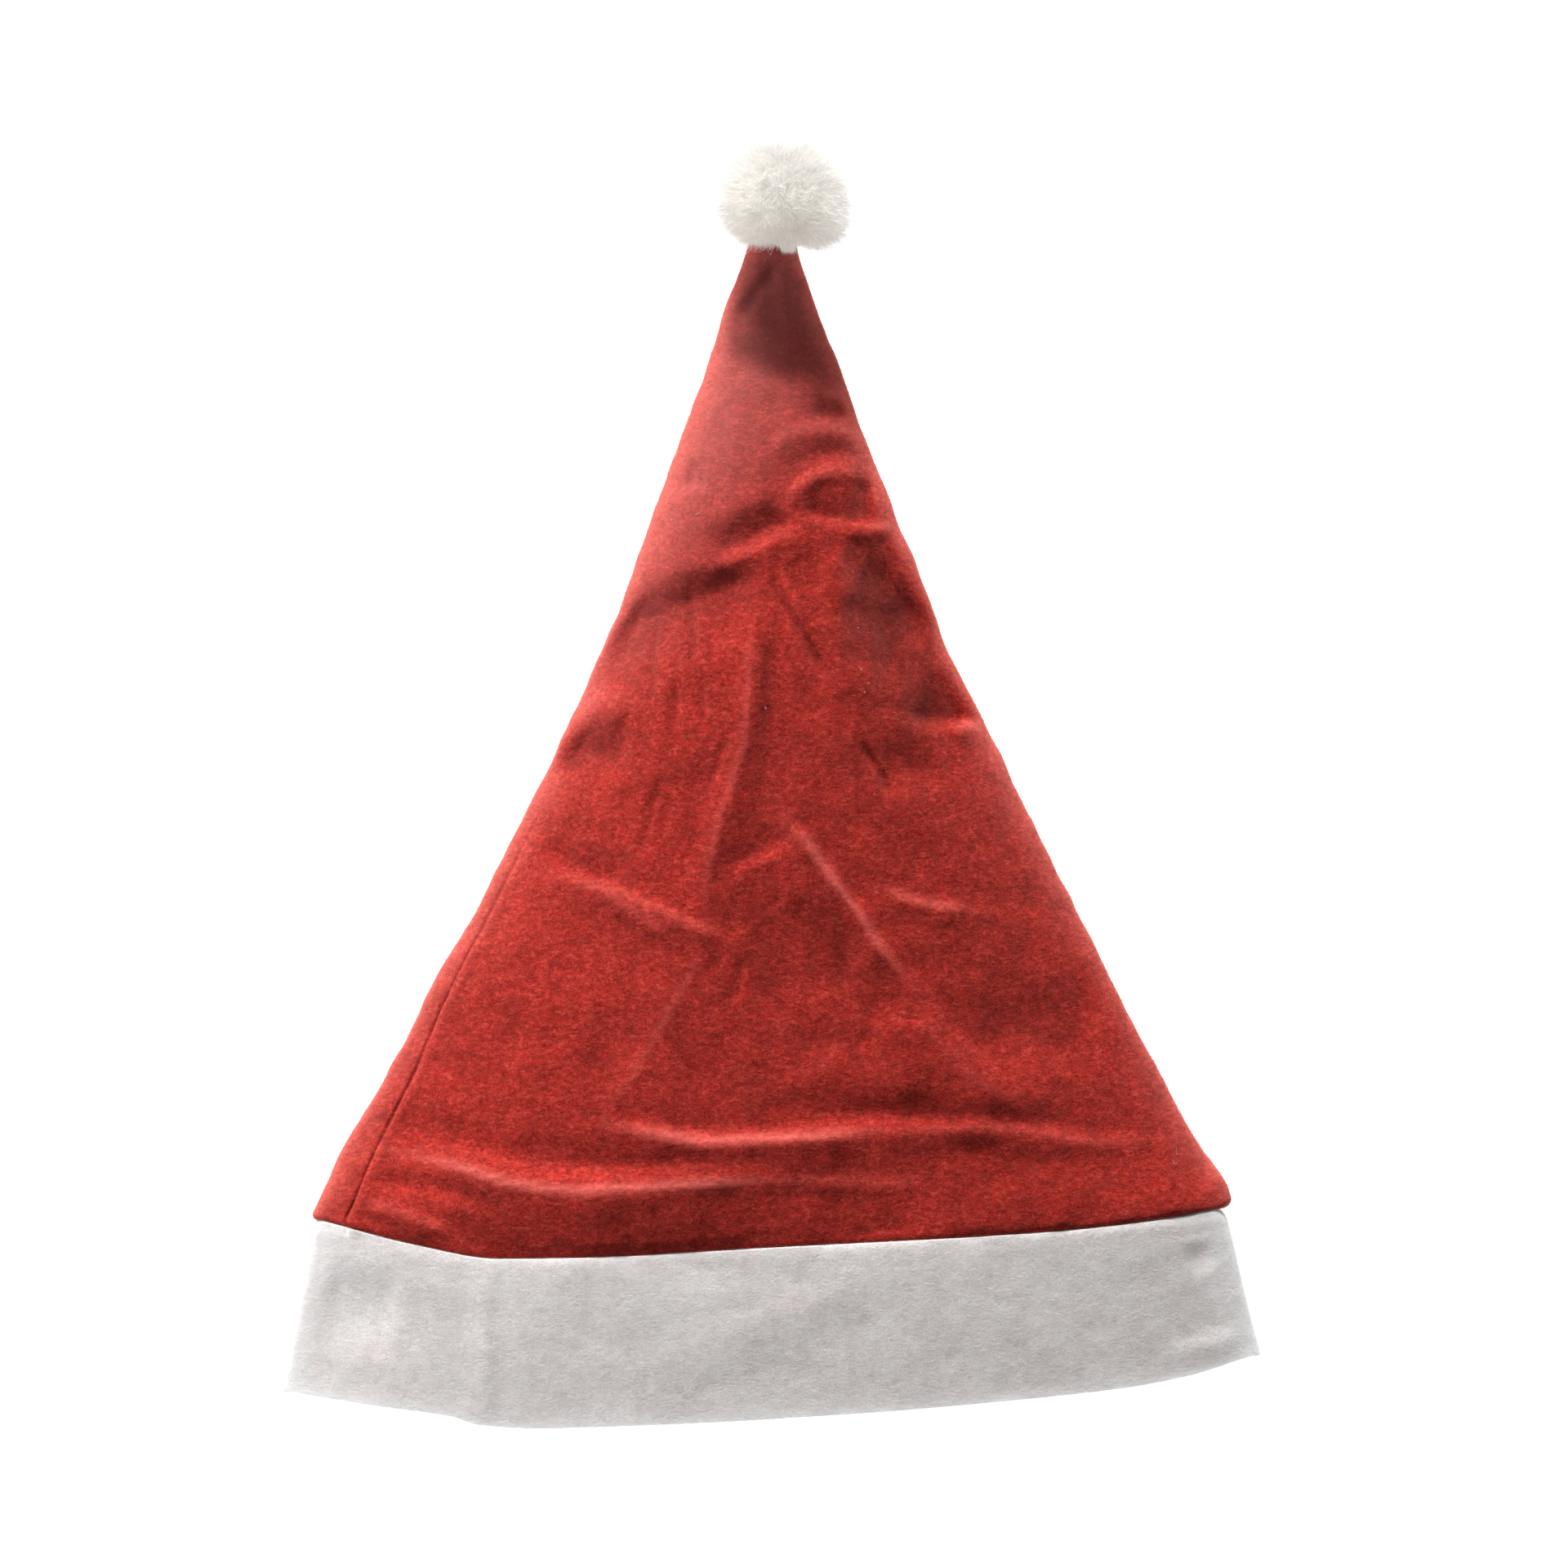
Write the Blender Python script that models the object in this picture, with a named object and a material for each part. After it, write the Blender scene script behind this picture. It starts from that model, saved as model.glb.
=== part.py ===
"""A felt santa hat lying flat on its back: a hollow red crown with one side seam, a white
brim band tucked into the crown's mouth, and a white pompom on the tip.

+X is the hat's right as it is seen from above, +Y runs from the brim to the pompom and +Z is up.
The origin is on the floor, in the middle of the hat's box. The tables are in millimetres.
"""

import math

import bmesh
import bpy
import numpy as np
from mathutils import Matrix, Vector

MM = 0.001

# Driving dimensions, in millimetres
BRIM_WIDTH = 300.0
CROWN_LENGTH = 301.0
MOUTH_LEFT_Y = -133.2
MOUTH_RIGHT_Y = -130.0
TIP_Y = 169.5
BRIM_LEFT_Y = -185.5
BRIM_RIGHT_Y = -174.5
CROWN_WALL = 1.5
BAND_WALL = 1.6
SEATING_GAP = 0.3
SLOPE_ALLOWANCE = 0.2
TUCK_INSET = CROWN_WALL + SEATING_GAP + SLOPE_ALLOWANCE

# How far the mouth's sag is felt up the crown, and how far the front's folds fade towards the
# mouth and towards the two side edges
MOUTH_SAG_REACH = 60.0
SOFT_EDGE = 3.0
SIDE_SOFT_EDGE = 7.0

# How full the front's arch is: the higher, the flatter its middle and the steeper its sides
SWELL_POWER = 2.8

# Mesh steps
FRONT_STEPS = 27
BACK_STEPS = 6
FOLD_STEPS = 3
CROWN_ROWS = (
    ("name", "from", "to", "steps"),
    ("mouth", 0.0, 9.6, 3),
    ("hem", 9.6, 39.0, 8),
    ("body", 39.0, 140.0, 13),
    ("cone", 140.0, CROWN_LENGTH, 19),
)
TUCK_ROWS = 2
BAND_ROWS = (0.0, 0.055, 0.10, 0.17, 0.34, 0.52, 0.70, 0.86, 1.0)

# The crown's sections, one for each distance up from the mouth. left_x and right_x are its two
# folded edges, height is its thickness in the middle, fold the radius of its edges and lift the
# height of its underside over the floor.
CROWN_SECTIONS = (
    ("name", "up", "left_x", "right_x", "height", "fold", "lift"),
    ("mouth", 0.0, -139.4, 138.5, 21.8, 4.2, 0.0),
    ("roll", 1.5, -139.8, 140.4, 22.0, 4.2, 0.0),
    ("lip", 3.0, -139.2, 141.0, 22.2, 4.1, 0.0),
    ("shoulder", 6.3, -137.4, 140.2, 22.5, 3.9, 0.0),
    ("hem", 12.5, -134.5, 136.0, 23.0, 3.5, 0.0),
    ("skirt", 19.0, -131.6, 131.7, 23.4, 3.2, 0.0),
    ("low_belly", 49.0, -115.0, 115.5, 24.6, 2.8, 0.0),
    ("belly", 79.0, -98.6, 100.1, 24.8, 2.8, 0.0),
    ("high_belly", 109.0, -82.0, 85.0, 24.6, 2.8, 0.0),
    ("waist", 139.0, -66.9, 70.1, 24.3, 2.7, 0.0),
    ("chest", 169.0, -53.0, 55.9, 22.8, 2.7, 0.0),
    ("shaft", 199.0, -41.2, 44.3, 20.2, 2.7, 0.0),
    ("throat", 229.0, -30.4, 32.3, 16.2, 2.7, 0.0),
    ("neck", 259.0, -19.8, 20.9, 11.8, 2.6, 1.6),
    ("collar", 289.0, -8.8, 10.2, 7.6, 2.6, 8.2),
    ("tip", 301.0, -4.4, 7.0, 5.5, 2.6, 11.2),
)

# The band's sections from the mouth, at share 0, to the raw lower edge, at share 1
BAND_SECTIONS = (
    ("name", "share", "left_x", "right_x", "height", "fold", "lift"),
    (
        "seam",
        0.0,
        CROWN_SECTIONS[1][2] + TUCK_INSET,
        CROWN_SECTIONS[1][3] - TUCK_INSET,
        CROWN_SECTIONS[1][4] - 2 * TUCK_INSET,
        CROWN_SECTIONS[1][5] - TUCK_INSET,
        TUCK_INSET,
    ),
    ("bead", 0.06, -140.0, 139.3, 21.5, 3.9, 0.5),
    ("bulge", 0.13, -141.2, 140.6, 22.1, 4.1, 0.1),
    ("middle", 0.52, -144.8, 144.6, 21.6, 3.8, 0.0),
    ("brim", 1.0, -BRIM_WIDTH / 2, BRIM_WIDTH / 2, 20.0, 3.4, 0.0),
)

# How far the mouth and the lower edge sag below a straight line between their ends
MOUTH_SAG = (
    ("across", "drop"),
    (0.00, 0.0),
    (0.10, 7.0),
    (0.20, 11.6),
    (0.28, 11.5),
    (0.50, 9.0),
    (0.82, 5.3),
    (0.95, 2.0),
    (1.00, 0.0),
)
BRIM_SAG = (
    ("across", "drop"),
    (0.00, 0.0),
    (0.10, 5.4),
    (0.17, 8.8),
    (0.20, 11.7),
    (0.27, 13.4),
    (0.37, 13.5),
    (0.57, 12.5),
    (0.77, 9.9),
    (0.87, 7.8),
    (0.93, 5.3),
    (1.00, 0.0),
)

# The turned side seam: its distance from the crown's left edge, and its depth
SIDE_SEAM = (
    ("up", "inset", "depth"),
    (0.0, 10.5, 0.9),
    (41.0, 9.2, 0.8),
    (62.0, 6.9, 0.7),
    (88.0, 5.4, 0.5),
    (106.0, 4.6, 0.4),
    (150.0, 4.4, 0.0),
    (301.0, 4.4, 0.0),
)
SEAM_HALF_WIDTH = 1.6
SEAM_MARGIN = 0.4
SEAM_WIDEST_SHARE = 0.125

# Folds and dents of the front. rise is their height, below zero for a valley. left and right are
# how far they reach on each side of the route, as one walks along it. A fold tapers to END_RISE of
# its height over TAPER_SHARE of its length at each end.
END_RISE = 0.2
TAPER_SHARE = 0.25
CROWN_FOLDS = (
    ("name", "rise", "left", "right", "route"),
    ("high_edge_dent", -2.2, 7.0, 4.5, ((12, 113), (18, 112.5), (24, 113.5))),
    ("high_arc", 1.1, 4.5, 7.0, ((0, 99), (4, 104), (10, 107), (18, 107.5), (30, 106.5))),
    ("high_hollow", -0.8, 5.0, 4.5, ((4, 91), (9, 96), (15, 99.5), (22, 101), (29, 101))),
    ("small_arc", 1.0, 4.5, 4.5, ((4, 83), (8, 89), (14, 93.5), (22, 95), (30, 94))),
    ("deep_dent", -3.0, 12.0, 4.5, ((9, 83.5), (18, 81), (30, 79.5))),
    ("dent_lip", 1.1, 4.5, 5.0, ((22, 77), (30, 77.5), (39, 78.5))),
    ("dent_floor", -2.8, 14.0, 12.0, ((20, 69), (29, 66), (40, 65))),
    ("upper_valley", -3.2, 11.0, 4.5, ((-19, 68.5), (-8, 73), (0, 77), (9, 80.5))),
    ("upper_ridge", 1.0, 6.0, 10.0, ((-17, 66.5), (-6, 69.5), (2, 73), (10, 76.5))),
    ("main_valley", -4.3, 11.0, 20.0, ((-64, 39), (-48, 46), (-38, 50), (-28, 54), (-15, 59), (2, 66))),
    ("thin_valley", -1.5, 4.5, 4.5, ((1, 61), (6, 52), (12, 42), (18, 31))),
    (
        "spine",
        2.2,
        9.0,
        8.0,
        ((-18, -45), (-18.5, -28), (-15, -12), (-11, 0), (-7, 12), (-5.5, 30), (-4, 60)),
    ),
    ("spine_valley", -0.8, 4.5, 4.5, ((-1, 10), (-1, 30), (0, 46))),
    ("spine_low", 1.8, 14.0, 20.0, ((-50, -101), (-41, -89), (-33, -75), (-23, -58), (-18, -45))),
    ("centre_ridge", 2.2, 10.0, 14.0, ((30, 18), (25, 34), (22, 48), (21, 62), (20, 74))),
    ("right_shade", -1.2, 16.0, 16.0, ((28, 74), (36, 55), (44, 30), (48, 6))),
    ("right_dent", -4.0, 18.0, 12.0, ((20, 56), (36, 50.5), (43, 52.5), (48, 58))),
    ("low_right_dent", -4.2, 16.0, 4.5, ((42, 21), (54, 19.5), (65, 21.5))),
    ("low_right_lip", 1.2, 4.5, 7.0, ((54, 16.5), (67, 17.5))),
    ("low_right_shade", -2.6, 14.0, 10.0, ((32, 4), (52, 5))),
    ("left_edge_dent", -3.2, 13.0, 10.0, ((-70, 11), (-58, 10), (-50, 9), (-40, 9))),
    ("left_valley", -2.6, 10.0, 4.5, ((-70, -18), (-60, -25.5), (-50, -28.5), (-42, -31))),
    ("left_ridge", 1.5, 4.5, 10.0, ((-68, -28), (-50, -33), (-38, -37), (-28, -42), (-10, -48))),
    ("left_edge_ridge", 1.5, 8.0, 12.0, ((-64, 23.5), (-50, 24), (-42, 22))),
    ("short_ridge", 0.5, 4.5, 6.0, ((-12, -29), (-2, -24), (8, -18))),
    ("main_ridge", 2.6, 4.5, 20.0, ((3, -11), (10, -18), (18, -29), (25, -38), (32, -49), (42, -62))),
    ("main_ridge_low", 2.2, 9.0, 22.0, ((42, -62), (49, -78), (62, -91), (79, -99.5))),
    ("side_ridge", 1.1, 4.5, 7.0, ((33, -31.5), (40, -35), (50, -37.5), (61, -39))),
    ("centre_facet", -2.4, 24.0, 22.0, ((-10, -54), (14, -56), (32, -55))),
    ("low_facet", -1.5, 13.0, 12.0, ((4, -77), (38, -76))),
    ("right_facet", -2.4, 30.0, 14.0, ((58, -74), (102, -78))),
    ("low_hollow", -1.6, 10.0, 4.5, ((6, -100.5), (40, -101), (64, -101.5))),
    ("hem_ridge_middle", 3.2, 4.5, 17.0, ((-50, -104), (-22, -109.3), (0, -108.5), (34, -106))),
    ("hem_ridge_right", 1.0, 4.5, 8.0, ((30, -107), (60, -105), (75, -106), (100, -110), (121, -109))),
    ("hem_valley", -1.2, 10.0, 4.5, ((-116, -105), (-95, -109), (-80, -113), (-60, -116), (-30, -116))),
    (
        "hem_ridge_left",
        3.8,
        8.0,
        24.0,
        ((-118, -112), (-95, -117), (-80, -122), (-60, -124.5), (-20, -122), (8, -121)),
    ),
    ("corner_valley", -1.3, 5.0, 4.5, ((-123, -121), (-98, -124), (-85, -129))),
    ("corner_ridge", 1.3, 4.5, 5.0, ((-126, -127.5), (-108, -132.5), (-96, -138))),
)
BAND_FOLDS = (
    ("name", "rise", "left", "right", "route"),
    ("corner_dent", -1.4, 16.0, 18.0, ((-138, -158), (-112, -161))),
    ("upright_crease", 0.8, 8.0, 5.0, ((-86, -198), (-87, -145))),
    ("sloping_ridge", 0.45, 9.0, 14.0, ((-32, -174), (-11, -168), (34, -150))),
    ("right_ridge", 0.6, 5.0, 8.0, ((122, -174), (147, -168))),
    ("right_dent", -0.7, 6.0, 6.0, ((126, -146), (137, -143))),
)

# Shares of the band's depth below the seam over which its folds grow and the side seam dies out
BAND_FOLD_START = 0.12
BAND_SEAM_END = 0.06

# The pompom: a head with tapered locks, flat where the crown's tip meets it
POMPOM_CENTRE = Vector((3.6, 178.6, 17.1))
POMPOM_REACH = Vector((19.6, 17.9, 18.2))
HEAD_RADIUS = 10.0
LOCK_SPREAD = 0.12
LOCK_LEAN = 0.7
LOCK_WAIST = 1.22
LOCK_WAIST_SHARE = 0.62
TIP_TAPER = 0.35
TIP_CLEARANCE = 1.6
LOCK_SEED = 12

# Colours as linear RGB, with the roughness of the felt and the fur
FINISHES = (
    ("name", "colour", "roughness"),
    ("red_felt", (0.36, 0.032, 0.026), 0.95),
    ("white_felt", (0.66, 0.65, 0.65), 0.95),
    ("white_fur", (0.86, 0.85, 0.83), 0.9),
)


def clear_scene():
    for obj in list(bpy.data.objects):
        bpy.data.objects.remove(obj, do_unlink=True)


def finish(name):
    """A material from the table of finishes."""
    colour, roughness = next(row[1:] for row in FINISHES if row[0] == name)
    material = bpy.data.materials.new(name)
    material.use_nodes = True
    shader = material.node_tree.nodes["Principled BSDF"]
    shader.inputs["Base Color"].default_value = (*colour, 1.0)
    shader.inputs["Roughness"].default_value = roughness
    return material


def column(table, name):
    """One named column of a table whose first row holds the names."""
    index = table[0].index(name)
    return [row[index] for row in table[1:]]


def smooth_value(table, key, name, at):
    """The value of a column at a place along the key column, on a curve that never overshoots."""
    places = np.array(column(table, key))
    values = np.array(column(table, name))
    steps = np.diff(places)
    slopes = np.diff(values) / steps
    bends = slopes[:-1] * slopes[1:]
    inner = np.where(bends > 0, 2 * bends / np.where(bends > 0, slopes[:-1] + slopes[1:], 1), 0)
    tangents = np.concatenate([slopes[:1], inner, slopes[-1:]])
    at = np.clip(at, places[0], places[-1])
    i = np.clip(np.searchsorted(places, at, side="right") - 1, 0, len(steps) - 1)
    t = (at - places[i]) / steps[i]
    rise = values[i] * (1 + 2 * t) * (1 - t) ** 2 + values[i + 1] * t * t * (3 - 2 * t)
    bend = tangents[i] * t * (1 - t) ** 2 - tangents[i + 1] * t * t * (1 - t)
    return rise + steps[i] * bend


def soft_step(value):
    """0 below 0, 1 above 1, smooth between."""
    value = np.clip(value, 0.0, 1.0)
    return value * value * (3 - 2 * value)


def relief(folds, x, y):
    """How far the folds of a table raise or sink the felt at each point x, y."""
    raised = np.zeros_like(x)
    for _, rise, left, right, route in folds[1:]:
        nearest = np.full_like(x, np.inf)
        side = np.zeros_like(x)
        share = np.zeros_like(x)
        lengths = [math.dist(a, b) for a, b in zip(route, route[1:])]
        walked = 0.0
        for (ax, ay), (bx, by), length in zip(route, route[1:], lengths):
            dx, dy = (bx - ax) / length, (by - ay) / length
            along = np.clip((x - ax) * dx + (y - ay) * dy, 0, length)
            off_x, off_y = x - ax - along * dx, y - ay - along * dy
            away = np.hypot(off_x, off_y)
            closer = away < nearest
            side = np.where(closer, dx * off_y - dy * off_x, side)
            share = np.where(closer, (walked + along) / sum(lengths), share)
            nearest = np.where(closer, away, nearest)
            walked += length
        reach = np.clip(nearest / np.where(side > 0, left, right), 0, 1)
        taper = END_RISE + (1 - END_RISE) * soft_step(np.minimum(share, 1 - share) / TAPER_SHARE)
        raised += rise * taper * (1 - reach**2) ** 2
    return raised


def section_at(table, key, at):
    """Every measure of a section between the rows of its table."""
    return {name: float(smooth_value(table, key, name, at)) for name in table[0][2:]}


def fold_slope(section):
    """How steeply the front leaves the side folds, as an angle."""
    flat = section["right_x"] - section["left_x"] - 2 * section["fold"]
    return math.atan(2 * SWELL_POWER * (section["height"] - 2 * section["fold"]) / flat)


def front_columns(section, up):
    """Shares across the front from the left fold to the right one. Three of them follow the side seam."""
    inset = section["fold"] * (1 - math.sin(fold_slope(section)))
    flat = section["right_x"] - section["left_x"] - 2 * inset
    start = section["left_x"] + inset
    seam = section["left_x"] + smooth_value(SIDE_SEAM, "up", "inset", up)
    middle = max(seam - start, SEAM_HALF_WIDTH + SEAM_MARGIN) / flat
    half = min(SEAM_HALF_WIDTH / flat, SEAM_WIDEST_SHARE)
    rest = np.linspace(middle + half, 1.0, FRONT_STEPS - 2)
    return np.concatenate([[0.0, middle - half, middle], rest])


def ring(section, across, row_y):
    """One closed loop round the hat: the front, the right fold, the back and the left fold."""
    fold, lift = section["fold"], section["lift"]
    slope = fold_slope(section)
    inset, level = fold * (1 - math.sin(slope)), fold * (1 + math.cos(slope))
    left, right = section["left_x"] + inset, section["right_x"] - inset
    points = []
    for a in across:
        swell = (section["height"] - level) * (1 - abs(2 * a - 1) ** SWELL_POWER)
        points.append((left + (right - left) * a, row_y(a), lift + level + swell))
    left, right = section["left_x"] + fold, section["right_x"] - fold
    turns = np.linspace(math.pi / 2 - slope, -math.pi / 2, FOLD_STEPS + 2)[1:-1]
    for angle in turns:
        points.append((right + fold * math.cos(angle), row_y(1.0), lift + fold + fold * math.sin(angle)))
    for a in np.linspace(1.0, 0.0, BACK_STEPS + 1):
        points.append((left + (right - left) * a, row_y(a), lift))
    for angle in turns[::-1]:
        points.append((left - fold * math.cos(angle), row_y(0.0), lift + fold + fold * math.sin(angle)))
    return np.array(points)


def add_relief(points, across, folds, share):
    """Raises the front of a ring by the folds, softly to nothing at its two edges."""
    front = points[: len(across)]
    from_left = front[:, 0] - front[0, 0]
    from_right = front[-1, 0] - front[:, 0]
    softened = soft_step(np.minimum(from_left, from_right) / SIDE_SOFT_EDGE)
    front[:, 2] += share * softened * relief(folds, front[:, 0], front[:, 1])


def mouth_row(up):
    """The crown's rows sag with its mouth and straighten out above it."""
    left = MOUTH_LEFT_Y + up / CROWN_LENGTH * (TIP_Y - MOUTH_LEFT_Y)
    right = MOUTH_RIGHT_Y + up / CROWN_LENGTH * (TIP_Y - MOUTH_RIGHT_Y)
    sag = max(0.0, 1 - up / MOUTH_SAG_REACH) ** 2
    return lambda a: left + (right - left) * a - sag * smooth_value(MOUTH_SAG, "across", "drop", a)


def crown_ring(up, inset=0.0):
    """The crown's outer ring, or one that lies inset inside it."""
    section = section_at(CROWN_SECTIONS, "up", up)
    across = front_columns(section, up)
    section["left_x"] += inset
    section["right_x"] -= inset
    section["fold"] -= inset
    section["height"] -= 2 * inset
    section["lift"] += inset
    points = ring(section, across, mouth_row(up))
    add_relief(points, across, CROWN_FOLDS, soft_step(up / SOFT_EDGE))
    points[2, 2] -= smooth_value(SIDE_SEAM, "up", "depth", up)
    return points


def band_ring(share):
    """One ring of the band, between the seam line and the raw lower edge."""
    section = section_at(BAND_SECTIONS, "share", share)
    across = front_columns(section_at(CROWN_SECTIONS, "up", 0.0), 0.0)
    seam_line = mouth_row(0.0)

    def row_y(a):
        straight = BRIM_LEFT_Y + (BRIM_RIGHT_Y - BRIM_LEFT_Y) * a
        edge = straight - smooth_value(BRIM_SAG, "across", "drop", a)
        return seam_line(a) + share * (edge - seam_line(a))

    points = ring(section, across, row_y)
    add_relief(points, across, BAND_FOLDS, soft_step(share / BAND_FOLD_START))
    points[2, 2] -= smooth_value(SIDE_SEAM, "up", "depth", 0.0) * (1 - soft_step(share / BAND_SEAM_END))
    return points


def object_from(name, mesh_builder, material_name):
    """A smooth-shaded object from a bmesh in millimetres."""
    bmesh.ops.scale(mesh_builder, vec=(MM, MM, MM), verts=mesh_builder.verts)
    mesh = bpy.data.meshes.new(name)
    mesh_builder.to_mesh(mesh)
    mesh_builder.free()
    mesh.shade_smooth()
    mesh.materials.append(finish(material_name))
    obj = bpy.data.objects.new(name, mesh)
    bpy.context.scene.collection.objects.link(obj)
    return obj


def felt_tube(name, rings, wall, closed_end, material_name):
    """A tube of felt through the rings, of the given wall, open at the first ring."""
    builder = bmesh.new()
    rows = [[builder.verts.new(point) for point in points] for points in rings]
    for low, high in zip(rows, rows[1:]):
        for i in range(len(low)):
            builder.faces.new((low[i - 1], low[i], high[i], high[i - 1]))
    if closed_end:
        middle = builder.verts.new(np.mean(rings[-1], axis=0))
        for i in range(len(rows[-1])):
            builder.faces.new((rows[-1][i - 1], rows[-1][i], middle))
    bmesh.ops.recalc_face_normals(builder, faces=builder.faces)
    bmesh.ops.triangulate(builder, faces=builder.faces)
    obj = object_from(name, builder, material_name)
    shell = obj.modifiers.new("felt_wall", "SOLIDIFY")
    shell.thickness = wall * MM
    shell.offset = -1.0
    shell.use_even_offset = False
    return obj


def crown_ups():
    """Where the crown's rings lie, from its mouth to its tip."""
    ups = [np.linspace(start, end, steps, endpoint=False) for _, start, end, steps in CROWN_ROWS[1:]]
    return np.append(np.concatenate(ups), CROWN_LENGTH)


def make_crown():
    rings = [crown_ring(up) for up in crown_ups()]
    return felt_tube("crown", rings, CROWN_WALL, True, "red_felt")


def make_band():
    """The band's tucked rings lie under the crown's own, so that the gap between the two is even."""
    tucked = [crown_ring(up, TUCK_INSET) for up in crown_ups()[TUCK_ROWS:0:-1]]
    rings = tucked + [band_ring(share) for share in BAND_ROWS]
    return felt_tube("band", rings[::-1], BAND_WALL, False, "white_felt")


def around(vertex):
    """The faces round a vertex, in order."""
    faces = [vertex.link_faces[0]]
    while len(faces) < len(vertex.link_faces):
        for edge in faces[-1].edges:
            if vertex not in edge.verts:
                continue
            onward = [face for face in edge.link_faces if face not in faces]
            if onward:
                faces.append(onward[0])
                break
    return faces


def over_floor(point):
    return Vector((point.x, point.y, max(point.z, 0.0)))


def meets_tip(point):
    """Whether a point lies in the crown's last stretch, or too close to it."""
    tip = section_at(CROWN_SECTIONS, "up", CROWN_LENGTH)
    behind = TIP_Y + SEATING_GAP - point.y
    half_width = (tip["right_x"] - tip["left_x"]) / 2 + TIP_TAPER * behind
    off_x = abs(point.x - (tip["left_x"] + tip["right_x"]) / 2) - half_width
    off_z = abs(point.z - tip["lift"] - tip["height"] / 2) - tip["height"] / 2
    return behind > 0 and max(off_x, off_z) < TIP_CLEARANCE


def make_pompom():
    """Each lock stands on one face of the head, widens to its waist and ends in a point."""
    chance = np.random.default_rng(LOCK_SEED)
    pattern = bmesh.new()
    bmesh.ops.create_icosphere(pattern, subdivisions=3, radius=1.0)
    bmesh.ops.rotate(pattern, matrix=Matrix.Rotation(0.3, 3, "Z"), verts=pattern.verts)
    builder = bmesh.new()
    head = {}
    for face in pattern.faces:
        point = POMPOM_CENTRE + face.calc_center_median().normalized() * HEAD_RADIUS
        point.y = max(point.y, TIP_Y + SEATING_GAP)
        head[face.index] = builder.verts.new(point)
    for vertex in pattern.verts:
        base = [head[face.index] for face in around(vertex)]
        middle = sum((corner.co for corner in base), Vector()) / len(base)
        length = 1 - LOCK_SPREAD * chance.random()
        lean = Vector(chance.normal(0.0, LOCK_LEAN, 3))
        tip = over_floor(POMPOM_CENTRE + vertex.co.normalized() * POMPOM_REACH * length + lean)
        centre = middle.lerp(tip, LOCK_WAIST_SHARE)
        waist = [over_floor(centre + (corner.co - middle) * LOCK_WAIST) for corner in base]
        if any(map(meets_tip, [tip, *waist])):
            builder.faces.new(base)
            continue
        waist = [builder.verts.new(point) for point in waist]
        point = builder.verts.new(tip)
        for i in range(len(base)):
            builder.faces.new((base[i - 1], base[i], waist[i], waist[i - 1]))
            builder.faces.new((waist[i - 1], waist[i], point))
    pattern.free()
    bmesh.ops.recalc_face_normals(builder, faces=builder.faces)
    bmesh.ops.triangulate(builder, faces=builder.faces)
    return object_from("pompom", builder, "white_fur")


def centre_on_floor(objects):
    """Moves the whole hat so that the origin is at the middle of its box, on the floor."""
    points = np.array([vertex.co for obj in objects for vertex in obj.data.vertices])
    low, high = points.min(axis=0), points.max(axis=0)
    shift = Matrix.Translation((-(low[0] + high[0]) / 2, -(low[1] + high[1]) / 2, -low[2]))
    for obj in objects:
        obj.data.transform(shift)


clear_scene()
centre_on_floor([make_crown(), make_band(), make_pompom()])
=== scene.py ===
"""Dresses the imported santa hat: felt walls with the folds, nap and seams of the photograph, and a
pompom of fine fur, on a bright floor under a low soft light.

The tables are in millimetres, in the part's own frame: +X is the hat's right as it is seen from
above, +Y runs from the brim to the pompom and +Z is up.
"""

import math

import bmesh
import bpy
import numpy as np
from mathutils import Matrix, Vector, noise


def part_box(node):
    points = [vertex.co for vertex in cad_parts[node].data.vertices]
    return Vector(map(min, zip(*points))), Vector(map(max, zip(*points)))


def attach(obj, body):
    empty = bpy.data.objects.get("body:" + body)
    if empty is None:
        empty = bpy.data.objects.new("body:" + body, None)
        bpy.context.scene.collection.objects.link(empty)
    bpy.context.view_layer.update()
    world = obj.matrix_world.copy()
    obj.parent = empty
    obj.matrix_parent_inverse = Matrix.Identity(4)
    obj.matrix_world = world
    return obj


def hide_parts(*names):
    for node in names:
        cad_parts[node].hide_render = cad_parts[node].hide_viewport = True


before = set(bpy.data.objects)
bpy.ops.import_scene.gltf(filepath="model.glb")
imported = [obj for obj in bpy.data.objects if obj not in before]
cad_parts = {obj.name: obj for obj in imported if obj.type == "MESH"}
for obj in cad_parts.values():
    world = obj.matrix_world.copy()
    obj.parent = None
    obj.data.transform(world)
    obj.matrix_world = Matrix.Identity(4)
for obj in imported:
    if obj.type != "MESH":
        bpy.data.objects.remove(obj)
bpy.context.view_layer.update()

MM = 0.001
TINY = 1e-9
BLACK = (0.0, 0.0, 0.0, 1.0)
WHITE = (1.0, 1.0, 1.0, 1.0)

# An edge of a mesh is sharp past this angle, in radians
SHARP_ANGLE = 1.0

# The part's driving dimensions
BRIM_WIDTH = 300.0
CROWN_LENGTH = 301.0
MOUTH_LEFT_Y = -133.2
MOUTH_RIGHT_Y = -130.0
TIP_Y = 169.5
BRIM_LEFT_Y = -185.5
BRIM_RIGHT_Y = -174.5
CROWN_WALL = 1.5
BAND_WALL = 1.6
TUCK_INSET = 2.0
MOUTH_SAG_REACH = 60.0
SWELL_POWER = 2.8

# The relief fades out towards the mouth and the side folds
SOFT_EDGE = 3.0
DENT_SOFT_EDGE = 7.0

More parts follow.
